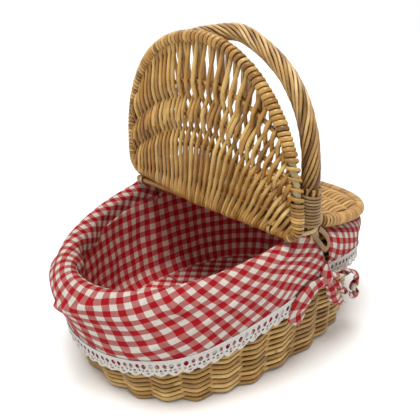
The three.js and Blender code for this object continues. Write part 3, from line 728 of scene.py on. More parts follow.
@dataclass
class WovenBody:
    """Wall, stakes, plaited border and base."""

    form: BodyForm
    stakes: int = 28
    rows: int = 39
    weaver_radius: float = 2.4
    weaver_swing: float = 5.0
    sharpness: float = 0.97
    stake_radius: float = 2.3
    low_share: float = 0.0207
    high_share: float = 0.886
    steps: int = 9
    base_rings: int = 21
    base_spokes: int = 24
    base_weaver: float = 2.2
    stick_gap: float = 44.0
    stick_inset: float = 4.0
    plait_radius: float = 2.7
    plait_lay: float = 3.1
    plait_turns: int = 34

    def wall_rods(self) -> list[Rod]:
        """Rows of weavers that pass in front of and behind the stakes in turn."""
        rng = np.random.default_rng(3)
        count = self.stakes * self.steps
        along = np.arange(count) / self.steps
        angles = RimWalk(self.form).angle((along + 0.5) / self.stakes)
        rods = []
        for row, share in enumerate(np.linspace(self.low_share, self.high_share, self.rows)):
            swing = self.weaver_swing * (1 + 0.08 * smooth_noise(along / 9, 100 + row))
            wave = np.arcsin(self.sharpness * np.cos(np.pi * (along + row))) / np.arcsin(self.sharpness)
            thick = self.weaver_radius * (1 + 0.1 * smooth_noise(along / 7, 200 + row))
            points = self.form.at_share(angles, np.full(count, share), swing * wave)
            rods.append(Rod(points, thick, patchy_tint(rng, count, 6, 0.25, 0.8), closed=True))
        return rods

    def stake_rods(self) -> list[Rod]:
        """Upright stakes from the base to the border."""
        angles = RimWalk(self.form).angle((np.arange(self.stakes) + 0.5) / self.stakes)
        shares = np.linspace(0.03, 0.95, 12)
        return [Rod(self.form.at_share(np.full(12, a), shares, 0.0), self.stake_radius, 0.35) for a in angles]

    def border_rods(self) -> list[Rod]:
        """Three stake ends laid round each other along the rim."""
        count = self.plait_turns * 14
        along = np.arange(count) / count
        angles = RimWalk(self.form).angle(along)
        rods = []
        for strand in range(3):
            turn = TURN * (along * self.plait_turns + strand / 3)
            depth = self.form.border_radius - self.plait_lay * np.sin(turn)
            points = self.form.at_depth(angles, depth, self.plait_lay * np.cos(turn))
            rods.append(Rod(points, self.plait_radius, 0.3 + 0.15 * strand, closed=True))
        return rods

    def base_rods(self) -> list[Rod]:
        """Oval rounds of weavers over and under the base's sticks."""
        form = self.form
        rng = np.random.default_rng(8)
        count = self.base_spokes * 8
        angle = np.arange(count) / count * TURN
        x, y = superellipse(angle, form.base_roundness)
        level = form.base_thickness / 2
        swing = level - self.base_weaver - 0.2
        rods = []
        for ring in range(self.base_rings):
            share = (ring + 0.7) / self.base_rings
            half_width = share * (form.base_half_width - form.wall / 2 - self.base_weaver)
            core = form.base_half_length - form.base_half_width
            half_length = half_width + core * min(1.0, 0.4 + 0.6 * share)
            z = level + swing * np.cos(angle * self.base_spokes / 2 + ring * np.pi)
            points = join(half_length * x, half_width * y, z)
            rods.append(Rod(points, self.base_weaver, patchy_tint(rng, count, 4, 0.2, 0.75), closed=True))
        return rods

    def base_stick_rods(self) -> list[Rod]:
        """Long and cross sticks in the middle of the base."""
        form = self.form
        inset = form.wall / 2 + 1
        halves = (form.base_half_length - inset, form.base_half_width - inset)
        power = form.base_roundness
        rods = []
        for axis, rows, radius in ((0, (-1, 0, 1), 2.5), (1, (-2, -1, 0, 1, 2), 2.3)):
            for row in rows:
                place = row * self.stick_gap
                share = (1 - (abs(place) / halves[1 - axis]) ** power) ** (1 / power)
                reach = halves[axis] * share - self.stick_inset
                points = np.full((3, 3), form.base_thickness / 2)
                points[:, axis] = (-reach, 0.0, reach)
                points[:, 1 - axis] = place
                rods.append(Rod(points, radius, 0.4))
        return rods

    def build(self, shop: Workshop) -> None:
        """Makes the body's pieces."""
        shop.sweep("woven_wall", self.wall_rods(), WALL_WILLOW, ("basket", "willow", "side_weave"),
                   wander=0.5, wander_size=22, seed=1)
        shop.sweep("wall_stakes", self.stake_rods(), WALL_WILLOW, ("basket", "rod", "stake_border"), sides=6)
        shop.sweep("rim_plait", self.border_rods(), WALL_WILLOW, ("basket", "rod"), wander=0.3, seed=2)
        shop.sweep("woven_base", self.base_rods(), WALL_WILLOW, ("basket", "willow", "base_weave"),
                   sides=6, seed=3)
        shop.sweep("base_rods", self.base_stick_rods(), WALL_WILLOW, ("basket", "rod", "base_sticks"),
                   sides=8)


# Handle


@dataclass
class Handle:
    """Fixed bow with its twisted rods, cane bindings and cut ends.

    The bow swells a little above its near shoulder and sags towards its far one.
    """

    form: BodyForm
    top_z: float = 323.0
    half_span: float = 130.0
    spring_z: float = 200.0
    roundness: float = 2.35
    foot_z: float = 45.0
    far_sag: float = 6.0
    sag_from: float = -40.0
    sag_run: float = 110.0
    near_swell: float = 3.2
    swell_at: float = -47.0
    swell_width: float = 24.0
    steps: int = 1200
    core_radius: float = 5.2
    radius: float = 10.1
    foot_grip: float = 8.8
    top_grip: float = 8.0
    strands: int = 12
    strand_radius: float = 1.58
    turns: float = 4.7
    twist_rise: float = 4.0
    leg_shade: float = 0.3
    shade_z: float = 292.0
    shade_run: float = 70.0
    leg_low_z: float = 112.0
    leg_rise: float = 6.0
    leg_draw: float = 3.0
    leg_radius: float = 2.1
    leg_leans: tuple[float, ...] = (-0.6, -0.3, 0.3, 0.55, 0.8, 1.0)
    leg_gap: float = 7.0
    leg_spread: float = 8.0
    strap_turns: tuple[tuple[float, float], ...] = (
        (-5.0, -16.0), (1.0, -8.0), (9.0, 4.0), (16.5, 14.0), (22.0, 11.5), (23.5, 6.0), (20.0, -1.0),
        (11.0, -8.0))
    strap_out: float = 11.5
    strap_slope: float = 0.3
    strap_half: float = 2.7
    binding_loops: int = 10
    binding_pitch: float = 2.9
    binding_radius: float = 1.4
    binding_off: float = 1.7
    binding_flare: float = 3.6
    far_flare: float = 0.6
    flare_power: float = 1.7
    binding_rise: float = 8.0
    end_depth: float = 8.0
    hinge_z: float = 152.427

    @property
    def binding_low(self) -> float:
        """Height at which the bindings begin."""
        return self.hinge_z + self.binding_rise

    @property
    def binding_top(self) -> float:
        """Height at which the bindings end."""
        return self.binding_low + self.binding_loops * self.binding_pitch

    def spine(self) -> Array:
        """The middle of the bow, from the near foot to the far one, at equal steps."""
        ridge = float(self.form.rim_z(0.0))
        in_border = ridge - self.form.border_radius
        heights = np.array([self.foot_z, lerp(self.foot_z, in_border, 0.5), in_border])
        feet = self.form.at_share(np.full(3, np.pi / 2), heights / ridge, 0.0)
        feet[:, 0] = 0
        across, up = superellipse(np.linspace(0, np.pi, 13), self.roundness)
        height = self.top_z - self.spring_z
        arch = join(0.0, -self.half_span * across, self.spring_z + height * np.abs(up))
        path = np.concatenate([feet * [1, -1, 1], arch, feet[::-1]])
        bow = resample(catmull_rom(path, 40), self.steps + 1)
        rise = ramp(bow[:, 2], self.spring_z, height)
        to_far = ramp(bow[:, 1], self.sag_from, self.sag_run)
        bow[:, 2] -= self.far_sag * rise * to_far ** 2 * (3 - 2 * to_far)
        bow[:, 2] += self.near_swell * rise * bell(bow[:, 1] - self.swell_at, self.swell_width)
        return bow

    def grip(self, z: Array) -> Array:
        """Radius over the twisted rods at a height; the bow is thinner at its top."""
        return lerp(self.foot_grip, self.top_grip, ramp(z, self.hinge_z, self.top_z - self.hinge_z))

    def around(self, spine: Array, angle: Array, radius: Array) -> Array:
        """Places round the spine, turning right-handed going up the near leg.

        Args:
            spine: Places on the spine.
            angle: The turn at each place.
            radius: The distance from the spine at each place.

        Returns:
            The places round it.
        """
        outward = np.cross(tangents(spine), [1.0, 0.0, 0.0])
        radius = np.broadcast_to(radius, angle.shape)[:, None]
        return spine + radius * (np.cos(angle)[:, None] * [1.0, 0.0, 0.0] + np.sin(angle)[:, None] * outward)

    def part(self, low_z: float, high_z: float, side: Side, count: int) -> Array:
        """A stretch of one leg's spine between two heights, going up."""
        spine = self.spine()
        top = self.steps // 2
        half = spine[:top + 1] if side is Side.NEAR else spine[top:][::-1]
        rising = half[:np.argmax(half[:, 2])]
        inside = (rising[:, 2] >= low_z) & (rising[:, 2] <= high_z)
        return resample(rising[inside], count)

    def twist_rods(self) -> list[Rod]:
        """Rods laid round the core like the strands of a rope."""
        spine = self.spine()
        above_rim = np.flatnonzero(spine[:, 2] >= float(self.form.rim_z(0.0)) + self.twist_rise)
        count = 340
        stretch = resample(spine[above_rim[0]:above_rim[-1] + 1], count)
        share = np.linspace(0, 1, count)
        z = stretch[:, 2]
        shade = self.leg_shade * ramp(self.shade_z - z, 0, self.shade_run)
        rng = np.random.default_rng(21)
        rods = []
        for strand in range(self.strands):
            angle = TURN * (share * self.turns + strand / self.strands)
            angle = angle + 0.06 * smooth_noise(share * 9, strand)
            lay = self.grip(z) - self.strand_radius + 0.2 * smooth_noise(share * 6, 40 + strand)
            thick = self.strand_radius * (1 + 0.07 * smooth_noise(share * 5, 60 + strand))
            tint = rng.uniform(0.3, 0.8) + 0.15 * smooth_noise(share * 7, 80 + strand)
            rods.append(Rod(self.around(stretch, angle, lay), thick, np.clip(tint - shade, 0.02, 0.95)))
        return rods

    def binding_rod(self, side: Side) -> Rod:
        """Cane wound round a foot of the bow, wider at its lower end."""
        count = self.binding_loops * 26
        spine = self.part(self.binding_low, self.binding_top, side, count)
        share = np.linspace(0, 1, count)
        angle = TURN * share * self.binding_loops * side.value
        flare = self.binding_flare if side is Side.NEAR else self.far_flare
        lay = self.foot_grip + self.binding_off + flare * (1 - share) ** self.flare_power
        tint = 0.5 + 0.22 * smooth_noise(share * 5, 5)
        return Rod(self.around(spine, angle, lay), self.binding_radius, tint)

    def cut_ends(self, side: Side) -> list[Rod]:
        """Cut rod tips that stand out of the top of the binding."""
        rng = np.random.default_rng(12)
        rods = []
        for k in range(self.strands):
            height = rng.uniform(3, 7)
            spine = self.part(self.binding_top - self.end_depth, self.binding_top + height, side, 6)
            angle = np.full(6, TURN * (k + rng.uniform(-0.2, 0.2)) / self.strands)
            lay = np.linspace(self.foot_grip - 0.2, self.foot_grip + rng.uniform(0.6, 1.6), 6)
            rods.append(Rod(self.around(spine, angle, lay), rng.uniform(1.2, 1.6), rng.uniform(0.1, 0.5)))
        return rods

    def leg_rods(self, side: Side) -> list[Rod]:
        """Rods that part below the binding and run down into the wall on both sides of the core."""
        spine = self.part(self.leg_low_z, self.binding_low + self.leg_rise, side, 16)
        fall = np.linspace(1, 0, 16)
        rods = []
        for k, lean in enumerate(self.leg_leans):
            spread = lean * (self.leg_gap + self.leg_spread * np.sin(0.75 * np.pi * fall))
            reach = self.radius - 0.5 if lean > 0 else 0.5 * self.radius
            outward = side.value * (reach - self.leg_draw * fall) * math.sqrt(1 - 0.4 * lean ** 2)
            points = spine + join(spread, outward, 0.0)
            rods.append(Rod(points, self.leg_radius, 0.45 + 0.1 * (k % 3)))
        return rods

    def strap_rod(self, side: Side) -> Rod:
        """Flat cane that hangs below the binding in a V and holds the parted rods to the wall."""
        x, depth = catmull_rom(np.array(self.strap_turns), 8).T
        angle = self.form.angle_at_x(x, side.value)
        points = self.form.at_depth(angle, depth, self.strap_out + self.strap_slope * np.maximum(depth, 0.0))
        outward = points - self.form.at_depth(angle, depth, np.zeros(len(x)))
        return Rod(points, self.strap_half, 0.35, facing=unit(outward))

    def build(self, shop: Workshop) -> None:
        """Makes the handle's pieces."""
        # The core is drawn in painted shade, being seen only between the twisted rods.
        bow = Rod(resample(self.spine(), 160), self.core_radius, 0.35)
        shop.sweep("handle_bow", [bow], SHADED_CORE_WILLOW, ("basket", "rod", "handle_core"), sides=12)
        strands = [f"handle_strand_{k}" for k in range(1, 9)]
        shop.sweep("handle_twist", self.twist_rods(), HANDLE_WILLOW, ("basket", "willow", *strands), sides=8)
        for side in Side:
            name = label(side)
            shop.sweep(f"{name}_cane_binding", [self.binding_rod(side)], BINDING_CANE,
                       ("basket", "cane", f"{name}_handle_binding"), sides=8, wander=0.25, seed=4)
            shop.sweep(f"{name}_cut_ends", self.cut_ends(side), HANDLE_WILLOW, ("basket", "willow"))
            shop.sweep(f"{name}_leg_rods", self.leg_rods(side), HANDLE_WILLOW, ("basket", "willow"),
                       wander=0.4, seed=5)
            shop.sweep(f"{name}_foot_strap", [self.strap_rod(side)], BINDING_CANE, ("basket", "cane"),
                       sides=8, flatness=0.3)


# Hinge bar and cane ties


@dataclass
class HingeTies:
    """The bar between the handle's feet, its slings and the cane loops that hold the lids."""

    handle: Handle
    bar_radius: float = 5.0
    rod_radius: float = 4.0
    hinge_offset: float = 22.0
    clearance: float = 0.3
    cane_half_width: float = 2.2
    cane_flatness: float = 0.32
    front_loop: float = 104.0
    rear_loop: float = 98.0
    bar_bend: float = 0.5
    sling_rise: float = 3.0

    @property
    def cane_thick(self) -> float:
        """Half the thickness of a cane."""
        return self.cane_half_width * self.cane_flatness

    def leg_y(self) -> float:
        """How far out the handle's leg stands at the height of the bar."""
        leg = self.handle.spine()[:self.handle.steps // 4]
        return float(-np.interp(self.handle.hinge_z, leg[:, 2], leg[:, 1]))

    def bar_rod(self) -> Rod:
        """The bar, slightly bent as a cut branch is."""
        half = self.leg_y() - self.handle.radius - self.clearance
        y = np.linspace(-half, half, 25)
        bend = self.bar_bend * (np.sin(np.pi * (y / half + 1) / 2) - 0.5)
        points = join(bend, y, self.handle.hinge_z)
        return Rod(points, self.bar_radius - 0.3 + 0.2 * smooth_noise(y / 60, 3), 0.4)

    def sling_rod(self, side: Side) -> Rod:
        """A cane ring round the leg, low on the inside where the bar lies in it."""
        reach = self.handle.radius + 2 * self.clearance + self.cane_thick
        low = self.handle.hinge_z - self.bar_radius - self.clearance - self.cane_thick
        angle = np.arange(48) / 48 * TURN
        y = side.value * (self.leg_y() + reach * np.cos(angle))
        points = join(reach * np.sin(angle), y, low + self.sling_rise * (1 + np.cos(angle)))
        facing = join(np.sin(angle), side.value * np.cos(angle), 0.0)
        return Rod(points, self.cane_half_width, 0.6, closed=True, facing=facing)

    def loop_rod(self, lid_x: float, y: float) -> Rod:
        """A flat cane loop round the bar and a lid's hinge rod."""
        held = sorted([(0.0, self.bar_radius), (lid_x, self.rod_radius)], reverse=True)
        points, directions = [], []
        for (x, radius), start in zip(held, (-np.pi / 2, np.pi / 2)):
            angle = start + np.linspace(0, np.pi, 16)
            direction = join(np.cos(angle), 0.0, np.sin(angle))
            reach = radius + self.clearance + self.cane_thick
            points.append(np.array([x, y, self.handle.hinge_z]) + reach * direction)
            directions.append(direction)
        facing = np.concatenate(directions)
        return Rod(np.concatenate(points), self.cane_half_width, 0.55, closed=True, facing=facing)

    def build(self, shop: Workshop) -> None:
        """Makes the bar, slings and loops."""
        shop.sweep("hinge_bar_rod", [self.bar_rod()], WALL_WILLOW, ("basket", "rod", "hinge_bar"), sides=14)
        flat = {"sides": 10, "flatness": self.cane_flatness}
        for side in Side:
            name = label(side)
            shop.sweep(f"{name}_sling_cane", [self.sling_rod(side)], CANE,
                       ("basket", "cane", f"{name}_bar_sling"), **flat)
            for end, offset in ((End.FRONT, self.front_loop), (End.REAR, self.rear_loop)):
                loop = self.loop_rod(end.value * self.hinge_offset, side.value * offset)
                shop.sweep(f"{label(end)}_{name}_cane_loop", [loop], CANE,
                           ("basket", "cane", f"{label(end)}_lid_{name}_loop"), **flat)


# Lids


@dataclass(frozen=True)
class LidSide:
    """One side of a lid.

    Attributes:
        half: Half width over the wound edge.
        across: How far its rounded corner runs along the hinge edge.
        deep: How deep its corner is.
        roundness: How square its bow is; 2 is an ellipse.
        pitch: How far apart its weavers start.
        weaver: Radius of its weavers.
    """

    half: float = 138.0
    across: float = 13.0
    deep: float = 13.0
    roundness: float = 2.2
    pitch: float = 3.6
    weaver: float = 1.9


@dataclass(frozen=True)
class Winding:
    """How a rod is wound round the bow: its pitch and half its width."""

    pitch: float
    half: float


# The winding is finer on the far side and at the corners, and open along a bare stretch.
FAR_WINDING = Winding(4.6, 2.1)
CORNER_WINDING = Winding(2.7, 1.4)
BARE_WINDING = Winding(9.0, 1.6)


@dataclass
class Lid:
    """A half lid, drawn flat with its hinge axis on local Y and its tip towards local X.

    The near side lies at negative places across. The weavers come over the hinge edge on the inner face, the
    lower one when the lid is shut, where the cut butts of inserted rods show as well.
    """

    end: End
    finish: WillowFinish
    seed: int
    pitch_turn: float
    hinge_z: float
    depth: float
    near: LidSide
    far: LidSide
    loop_offset: float
    butts: tuple[float, ...]
    winding: Winding
    far_lift: float = 0.0
    lean: float = 0.0
    fan_rate: float = 0.0
    bare_from: float = 0.0
    bare_to: float = 0.0
    near_tight: float = 1.0
    hinge_offset: float = 22.0
    edge_radius: float = 6.2
    bow_radius: float = 3.4
    pivot_radius: float = 3.6
    pivot_half: float = 114.5
    weaver_swing: float = 4.9
    hook: float = 2.2
    loop_gap: float = 4.8
    loop_clear: float = 7.0
    fan_from: float = 30.0
    rib_tops: tuple[float, ...] = (60.0, 92.0, 125.0)
    rib_bend: float = 0.0031
    rib_radius: float = 2.3
    butt_top: float = 86.0
    butt_radius: float = 2.6
    fine_from: float = 50.0
    near_corner_run: float = 22.0
    far_corner_run: float = 10.0
    tight_run: float = 90.0
    bow_lead: float = 14.0
    bow_gap: float = 1.5
    rib_gap: float = 4.0
    first_gap: float = 3.0
    last_gap: float = 4.0
    tail_from: float = 15.0
    tail_to: float = 7.0
    butt_proud: float = 1.2
    pressed_proud: float = 0.7
    pressed_zone: float = 25.0
    wrap_flatness: float = 0.58

    @property
    def bow_depth(self) -> float:
        """Depth to the middle of the bow."""
        return self.depth - self.edge_radius

    @property
    def inner(self) -> int:
        """The sign of the inner face."""
        return -self.end.value

    def of(self, side: Side) -> LidSide:
        """The sizes of one side."""
        return self.near if side is Side.NEAR else self.far

    def bow_half(self, side: Side) -> float:
        """Half width to the middle of the bow on one side."""
        return self.of(side).half - self.edge_radius

    def to_far(self, start: float) -> float:
        """How far over to the far side a place across lies, from 0 at the middle to 1."""
        return max(start / self.far.half, 0.0)

    def turn(self, local: Array) -> Array:
        """Directions in the basket's frame."""
        cos, sin = math.cos(self.pitch_turn), math.sin(self.pitch_turn)
        u, v, w = local[..., 0], local[..., 1], local[..., 2]
        return join(u * cos + w * sin, v, w * cos - u * sin)

    def to_world(self, local: Array) -> Array:
        """Places in the basket's frame at rest, with the lid's slight lean to one side."""
        leant = np.array(local)
        leant[..., 1] += self.lean * (np.clip(local[..., 0], 0, None) / self.bow_depth) ** 2
        return self.turn(leant) + [self.end.value * self.hinge_offset, 0.0, self.hinge_z]

    def half_at(self, u: Array, side: Side) -> Array:
        """Half width of the bow's middle at a depth, on one side."""
        size = self.of(side)
        share = ramp(u, size.deep, self.bow_depth - size.deep)
        return self.bow_half(side) * (1 - share ** size.roundness) ** (1 / size.roundness)

    def edge_u(self, v: Array) -> Array:
        """Depth of the hinge edge, which lifts off the pivot towards the far corner."""
        return self.far_lift * (np.clip(v, 0.0, None) / self.far.half) ** 1.1

    def start_u(self, v: float) -> float:
        """Depth of the woven edge at a place across the lid, round the corners too."""
        side = Side.NEAR if v < 0 else Side.FAR
        size = self.of(side)
        inset = self.bow_half(side) - size.across
        low = float(self.edge_u(np.asarray(min(v, inset))))
        share = min(max(abs(v) - inset, 0.0) / size.across, 1.0)
        return lerp(low, size.deep, 1 - math.sqrt(1 - share ** 2))

    def bow_side(self, side: Side) -> Array:
        """One side of the bow, from the hinge edge round its corner to the tip."""
        size = self.of(side)
        inset = self.bow_half(side) - size.across
        low = float(self.edge_u(np.asarray(side.value * inset)))
        turn = np.linspace(0, np.pi / 2, 12, endpoint=False)
        arc_u, arc_v = superellipse(np.linspace(np.pi / 2, 0, 160), size.roundness)
        u = np.concatenate([lerp(low, size.deep, 1 - np.cos(turn)), lerp(size.deep, self.bow_depth, arc_u)])
        v = np.concatenate([inset + size.across * np.sin(turn), self.bow_half(side) * arc_v])
        return join(u, side.value * v, 0.0)

    def bow_path(self, count: int, lead: float = 0.0) -> Array:
        """The D-shaped bow from its near hinge corner round the tip to the far one.

        Args:
            count: How many points to return.
            lead: How far its ends run on along the hinge edge.

        Returns:
            The local points.
        """
        path = np.concatenate([self.bow_side(Side.NEAR), self.bow_side(Side.FAR)[::-1][1:]])
        if lead:
            across = path[[0, -1], 1] + [lead, -lead]
            leads = join(self.edge_u(across), across, 0.0)
            path = np.concatenate([leads[:1], path, leads[1:]])
        return resample(path, count)

    def rib_u(self, k: int, v: Array) -> Array:
        """Depth of an arched rib at a place across the lid."""
        return self.rib_tops[k] - self.rib_bend * v ** 2

    def rib_rods(self) -> list[Rod]:
        """Arched ribs that the weavers pass over and under."""
        v = np.linspace(-self.near.half, self.far.half, 200)
        rods = []
        for k in range(len(self.rib_tops)):
            u = self.rib_u(k, v)
            within = (v > -self.half_at(u, Side.NEAR)) & (v < self.half_at(u, Side.FAR))
            local = join(u, v, 0.0)[within & (u > self.edge_u(v) + self.rib_gap)]
            rods.append(Rod(self.to_world(resample(local, 40)), self.rib_radius, 0.6))
        return rods

    def woven_height(self, u: Array, v: Array, ribs: Sequence[int], faces: Sequence[float]) -> Array:
        """How far a weaver lies off the middle of the lid.

        Args:
            u: Depths along it.
            v: Places across along it.
            ribs: The ribs that it passes.
            faces: The face it lies on at its start, at each rib and at the rim, from -1 to 1.

        Returns:
            The height at each point, positive towards the inner face.
        """
        phase = np.zeros_like(u)
        below = np.full_like(u, u[0])
        for station in [*(self.rib_u(k, v) for k in ribs), np.full_like(u, u[-1])]:
            phase += np.clip((u - below) / np.maximum(station - below, 1e-6), 0, 1)
            below = np.maximum(station, below)
        step = np.minimum(phase.astype(int), len(faces) - 2)
        ease = 0.5 - 0.5 * np.cos(np.pi * (phase - step))
        values = np.asarray(faces, float)
        return self.weaver_swing * lerp(values[step], values[step + 1], ease)

    def weaver_line(self, start: float, low: float) -> Array | None:
        """The run of a weaver across the lid.

        Args:
            start: Its place across at the hinge edge.
            low: The depth at which it begins.

        Returns:
            Depths and places across up to the bow, or None where the bow leaves no room.
        """
        u = np.linspace(low, self.bow_depth, 600)
        spread = min(start - self.fan_from, 0.0) * self.fan_rate
        v = start + spread * (u - self.start_u(start))
        near, far = (self.half_at(u, side) - self.bow_gap for side in Side)
        outside = np.flatnonzero((v < -near) | (v > far))
        last = outside[0] if len(outside) else len(u)
        if last < 40:
            return None
        return resample(join(u[:last], v[:last]), 56)

    def weaver_path(self, start: float, faces: Sequence[float], hooked: bool) -> Array | None:
        """One weaver, from its turn round the hinge edge to the bow.

        Args:
            start: Its place across the lid at the hinge edge.
            faces: The face it lies on at its start, at each rib and at the rim.
            hooked: Whether it turns round the hinge edge, or begins above a cane loop.

        Returns:
            The local path, or None where the bow leaves no room.
        """
        low = self.start_u(start)
        line = self.weaver_line(start, low if hooked else max(low, self.loop_clear))
        if line is None:
            return None
        u, v = line.T
        w = self.inner * self.woven_height(u, v, range(len(self.rib_tops)), faces)
        path = join(u, v, w)
        if not hooked:
            return path
        angle = np.linspace(-0.5 * np.pi, 0.5 * np.pi, 9)
        top = self.inner * self.weaver_swing
        loop = join(low - self.hook * np.cos(angle), start, top * np.sin(angle))
        tail = np.array([[low + self.tail_from, start, -0.9 * top], [low + self.tail_to, start, -top]])
        return np.concatenate([tail, loop, path[1:]])

    def weaver_rods(self) -> list[Rod]:
        """Weavers from the hinge edge to the bow, with inserted rods beside some of them."""
        rng = np.random.default_rng(self.seed)
        orders = ((1, 1, -1, 1, 0), (1, -1, 1, -1, 0))
        starts = []
        start = self.bow_half(Side.FAR) - self.first_gap
        while start > self.last_gap - self.bow_half(Side.NEAR):
            starts.append(start)
            start -= lerp(self.near.pitch, self.far.pitch, self.to_far(start))
        rods = []
        for i, start in enumerate(starts):
            start = start + rng.uniform(-0.3, 0.3)
            hooked = abs(abs(start) - self.loop_offset) > self.loop_gap
            path = self.weaver_path(start, orders[i % 2], hooked)
            if path is None:
                continue
            radius = lerp(self.near.weaver, self.far.weaver, self.to_far(start))
            thick = radius * rng.uniform(0.92, 1.1) * np.linspace(0.98, 1.04, len(path))
            rods.append(Rod(self.to_world(path), thick, rng.uniform(0.3, 0.8)))
        carriers = np.array(starts[::2])
        return rods + [self.butt_rod(across, carriers, rng) for across in self.butts]

    def butt_rod(self, across: float, carriers: Array, rng: np.random.Generator) -> Rod:
        """An inserted rod that begins with a cut butt on the inner face and runs up beside a weaver.

        Args:
            across: About where its butt shows.
            carriers: Where the weavers that may carry it start.
            rng: Source of chance.

        Returns:
            The rod.
        """
        low = self.butt_top - self.rib_bend * across ** 2 + rng.uniform(-2, 2)
        fanned = carriers + np.minimum(carriers - self.fan_from, 0) * self.fan_rate * low
        start = float(carriers[np.argmin(np.abs(fanned - across))])
        u, v = self.weaver_line(start, low).T
        # A butt beside the far corner is pressed closer, because the shut lid rests on the cuff there.
        pressed = across >= self.far.half - self.pressed_zone
        proud = self.pressed_proud if pressed else self.butt_proud
        w = self.inner * self.woven_height(u, v, [len(self.rib_tops) - 1], (proud, -1, 0))
        path = join(u, v + 0.6, w)
        thick = self.butt_radius * np.linspace(1.05, 0.85, len(path))
        return Rod(self.to_world(path), thick, rng.uniform(0.35, 0.7))

    def winding_at(self, u: Array, v: Array) -> tuple[Array, Array]:
        """Pitch and half width of the rod wound round the bow, at places along the bow."""
        pitch = np.full(len(u), self.winding.pitch)
        half = np.full(len(u), self.winding.half)
        fine = v > self.fine_from
        pitch[fine] = min(self.winding.pitch, FAR_WINDING.pitch)
        half[fine] = min(self.winding.half, FAR_WINDING.half)
        corner = np.where(v < 0, self.near.deep + self.near_corner_run, self.far.deep + self.far_corner_run)
        at_corner = u < corner
        pitch[at_corner], half[at_corner] = CORNER_WINDING.pitch, CORNER_WINDING.half
        tight = lerp(self.near_tight, 1.0, ramp(u, self.bare_to, self.tight_run))
        near = (v < 0) & ~at_corner
        pitch[near] *= tight[near]
        half[near] *= tight[near] ** 0.7
        bare = (v < 0) & (u > self.bare_from) & (u < self.bare_to)
        pitch[bare], half[bare] = BARE_WINDING.pitch, BARE_WINDING.half
        return smoothed(pitch, 41), smoothed(half, 41)

    def wrap_rods(self) -> list[Rod]:
        """The rod wound round the bow, whose turns differ in tint and thickness."""
        path = self.bow_path(1600)
        lengths = path_lengths(path)
        pitch, half = self.winding_at(path[:, 0], path[:, 1])
        turns = np.concatenate([[0.0], np.cumsum(np.diff(lengths) / pitch[1:])])
        wanted = np.linspace(0, turns[-1], int(turns[-1] * 14))
        place = np.interp(wanted, turns, lengths)
        middle = along_path(path, lengths, place)
        width = np.interp(place, lengths, half)
        upright = np.array([0.0, 0.0, 1.0])
        angle = TURN * wanted[:, None]
        radial = np.cos(angle) * np.cross(tangents(middle), upright) + np.sin(angle) * upright
        rng = np.random.default_rng(self.seed + 7)
        turn = np.floor(wanted + 0.5).astype(int)
        tint = rng.uniform(0.25, 0.7, turn[-1] + 1)[turn]
        thick = width * (1 + 0.08 * rng.standard_normal(turn[-1] + 1)[turn])
        local = middle + (self.edge_radius - self.wrap_flatness * width)[:, None] * radial
        return [Rod(self.to_world(local), thick, tint, facing=self.turn(radial))]

    def pivot_rod(self) -> Rod:
        """The straight rod that the lid turns on."""
        local = np.zeros((30, 3))
        local[:, 1] = np.linspace(-self.pivot_half, self.pivot_half, 30)
        return Rod(self.to_world(local), self.pivot_radius, 0.45)

    def build(self, shop: Workshop) -> None:
        """Makes the lid's pieces."""
        name = f"{label(self.end)}_lid"
        shop.sweep(f"{name}_weavers", self.weaver_rods(), self.finish,
                   (name, "willow", f"{name}_weave", f"{name}_hinge_wrap"), sides=8, wander=0.5,
                   wander_size=24, unevenness=0.16, seed=self.seed)
        bow = Rod(self.to_world(self.bow_path(220, self.bow_lead)), self.bow_radius, 0.55)
        shop.sweep(f"{name}_bow", [bow], BOW_WILLOW, (name, "rod", f"{name}_rim_bow"), sides=10)
        shop.sweep(f"{name}_wrapping", self.wrap_rods(), self.finish, (name, "willow", f"{name}_edge_wrap"),
                   sides=8, flatness=self.wrap_flatness)
        ribs = [f"{name}_rib_{k + 1}" for k in range(len(self.rib_tops))]
        shop.sweep(f"{name}_ribs", self.rib_rods(), self.finish, (name, "rod", *ribs), sides=8, wander=0.3,
                   seed=6)
        shop.sweep(f"{name}_pivot", [self.pivot_rod()], self.finish, (name, "rod", f"{name}_hinge_rod"),
                   sides=12)


def front_lid(handle: Handle) -> Lid:
    """The open lid, turned back until the solids' lid leans on the handle."""
    gap = Lid.hinge_offset - Lid.edge_radius - handle.radius - HingeTies.clearance
    lean = math.asin(gap / (SOLID_LID_DEPTH - Lid.edge_radius))
    return Lid(End.FRONT, LID_WILLOW, 5, 1.5 * math.pi + lean, handle.hinge_z, 173.5,
               LidSide(140.5, 10.0, 10.0, 2.0, 3.5, 2.05), LidSide(128.5, 24.0, 30.0, 2.3, 3.8),
               HingeTies.front_loop, (109.0, 84.0, 69.0, 49.0, 26.0, 4.0, -26.0, -53.0, -75.0),
               Winding(6.2, 2.8), far_lift=14.0, lean=4.5, fan_rate=1 / 215, bare_from=34.0, bare_to=68.0,
               near_tight=0.66)


def rear_lid(handle: Handle) -> Lid:
    """The closed lid, which slopes as the rim does."""
    return Lid(End.REAR, REAR_WILLOW, 9, math.atan(handle.form.rim_fall), handle.hinge_z, 165.0,
               LidSide(133.0, weaver=2.05), LidSide(), HingeTies.rear_loop,
               (96.0, 61.0, 28.0, -6.0, -37.0, -70.0), Winding(3.2, 1.65))


# Liner


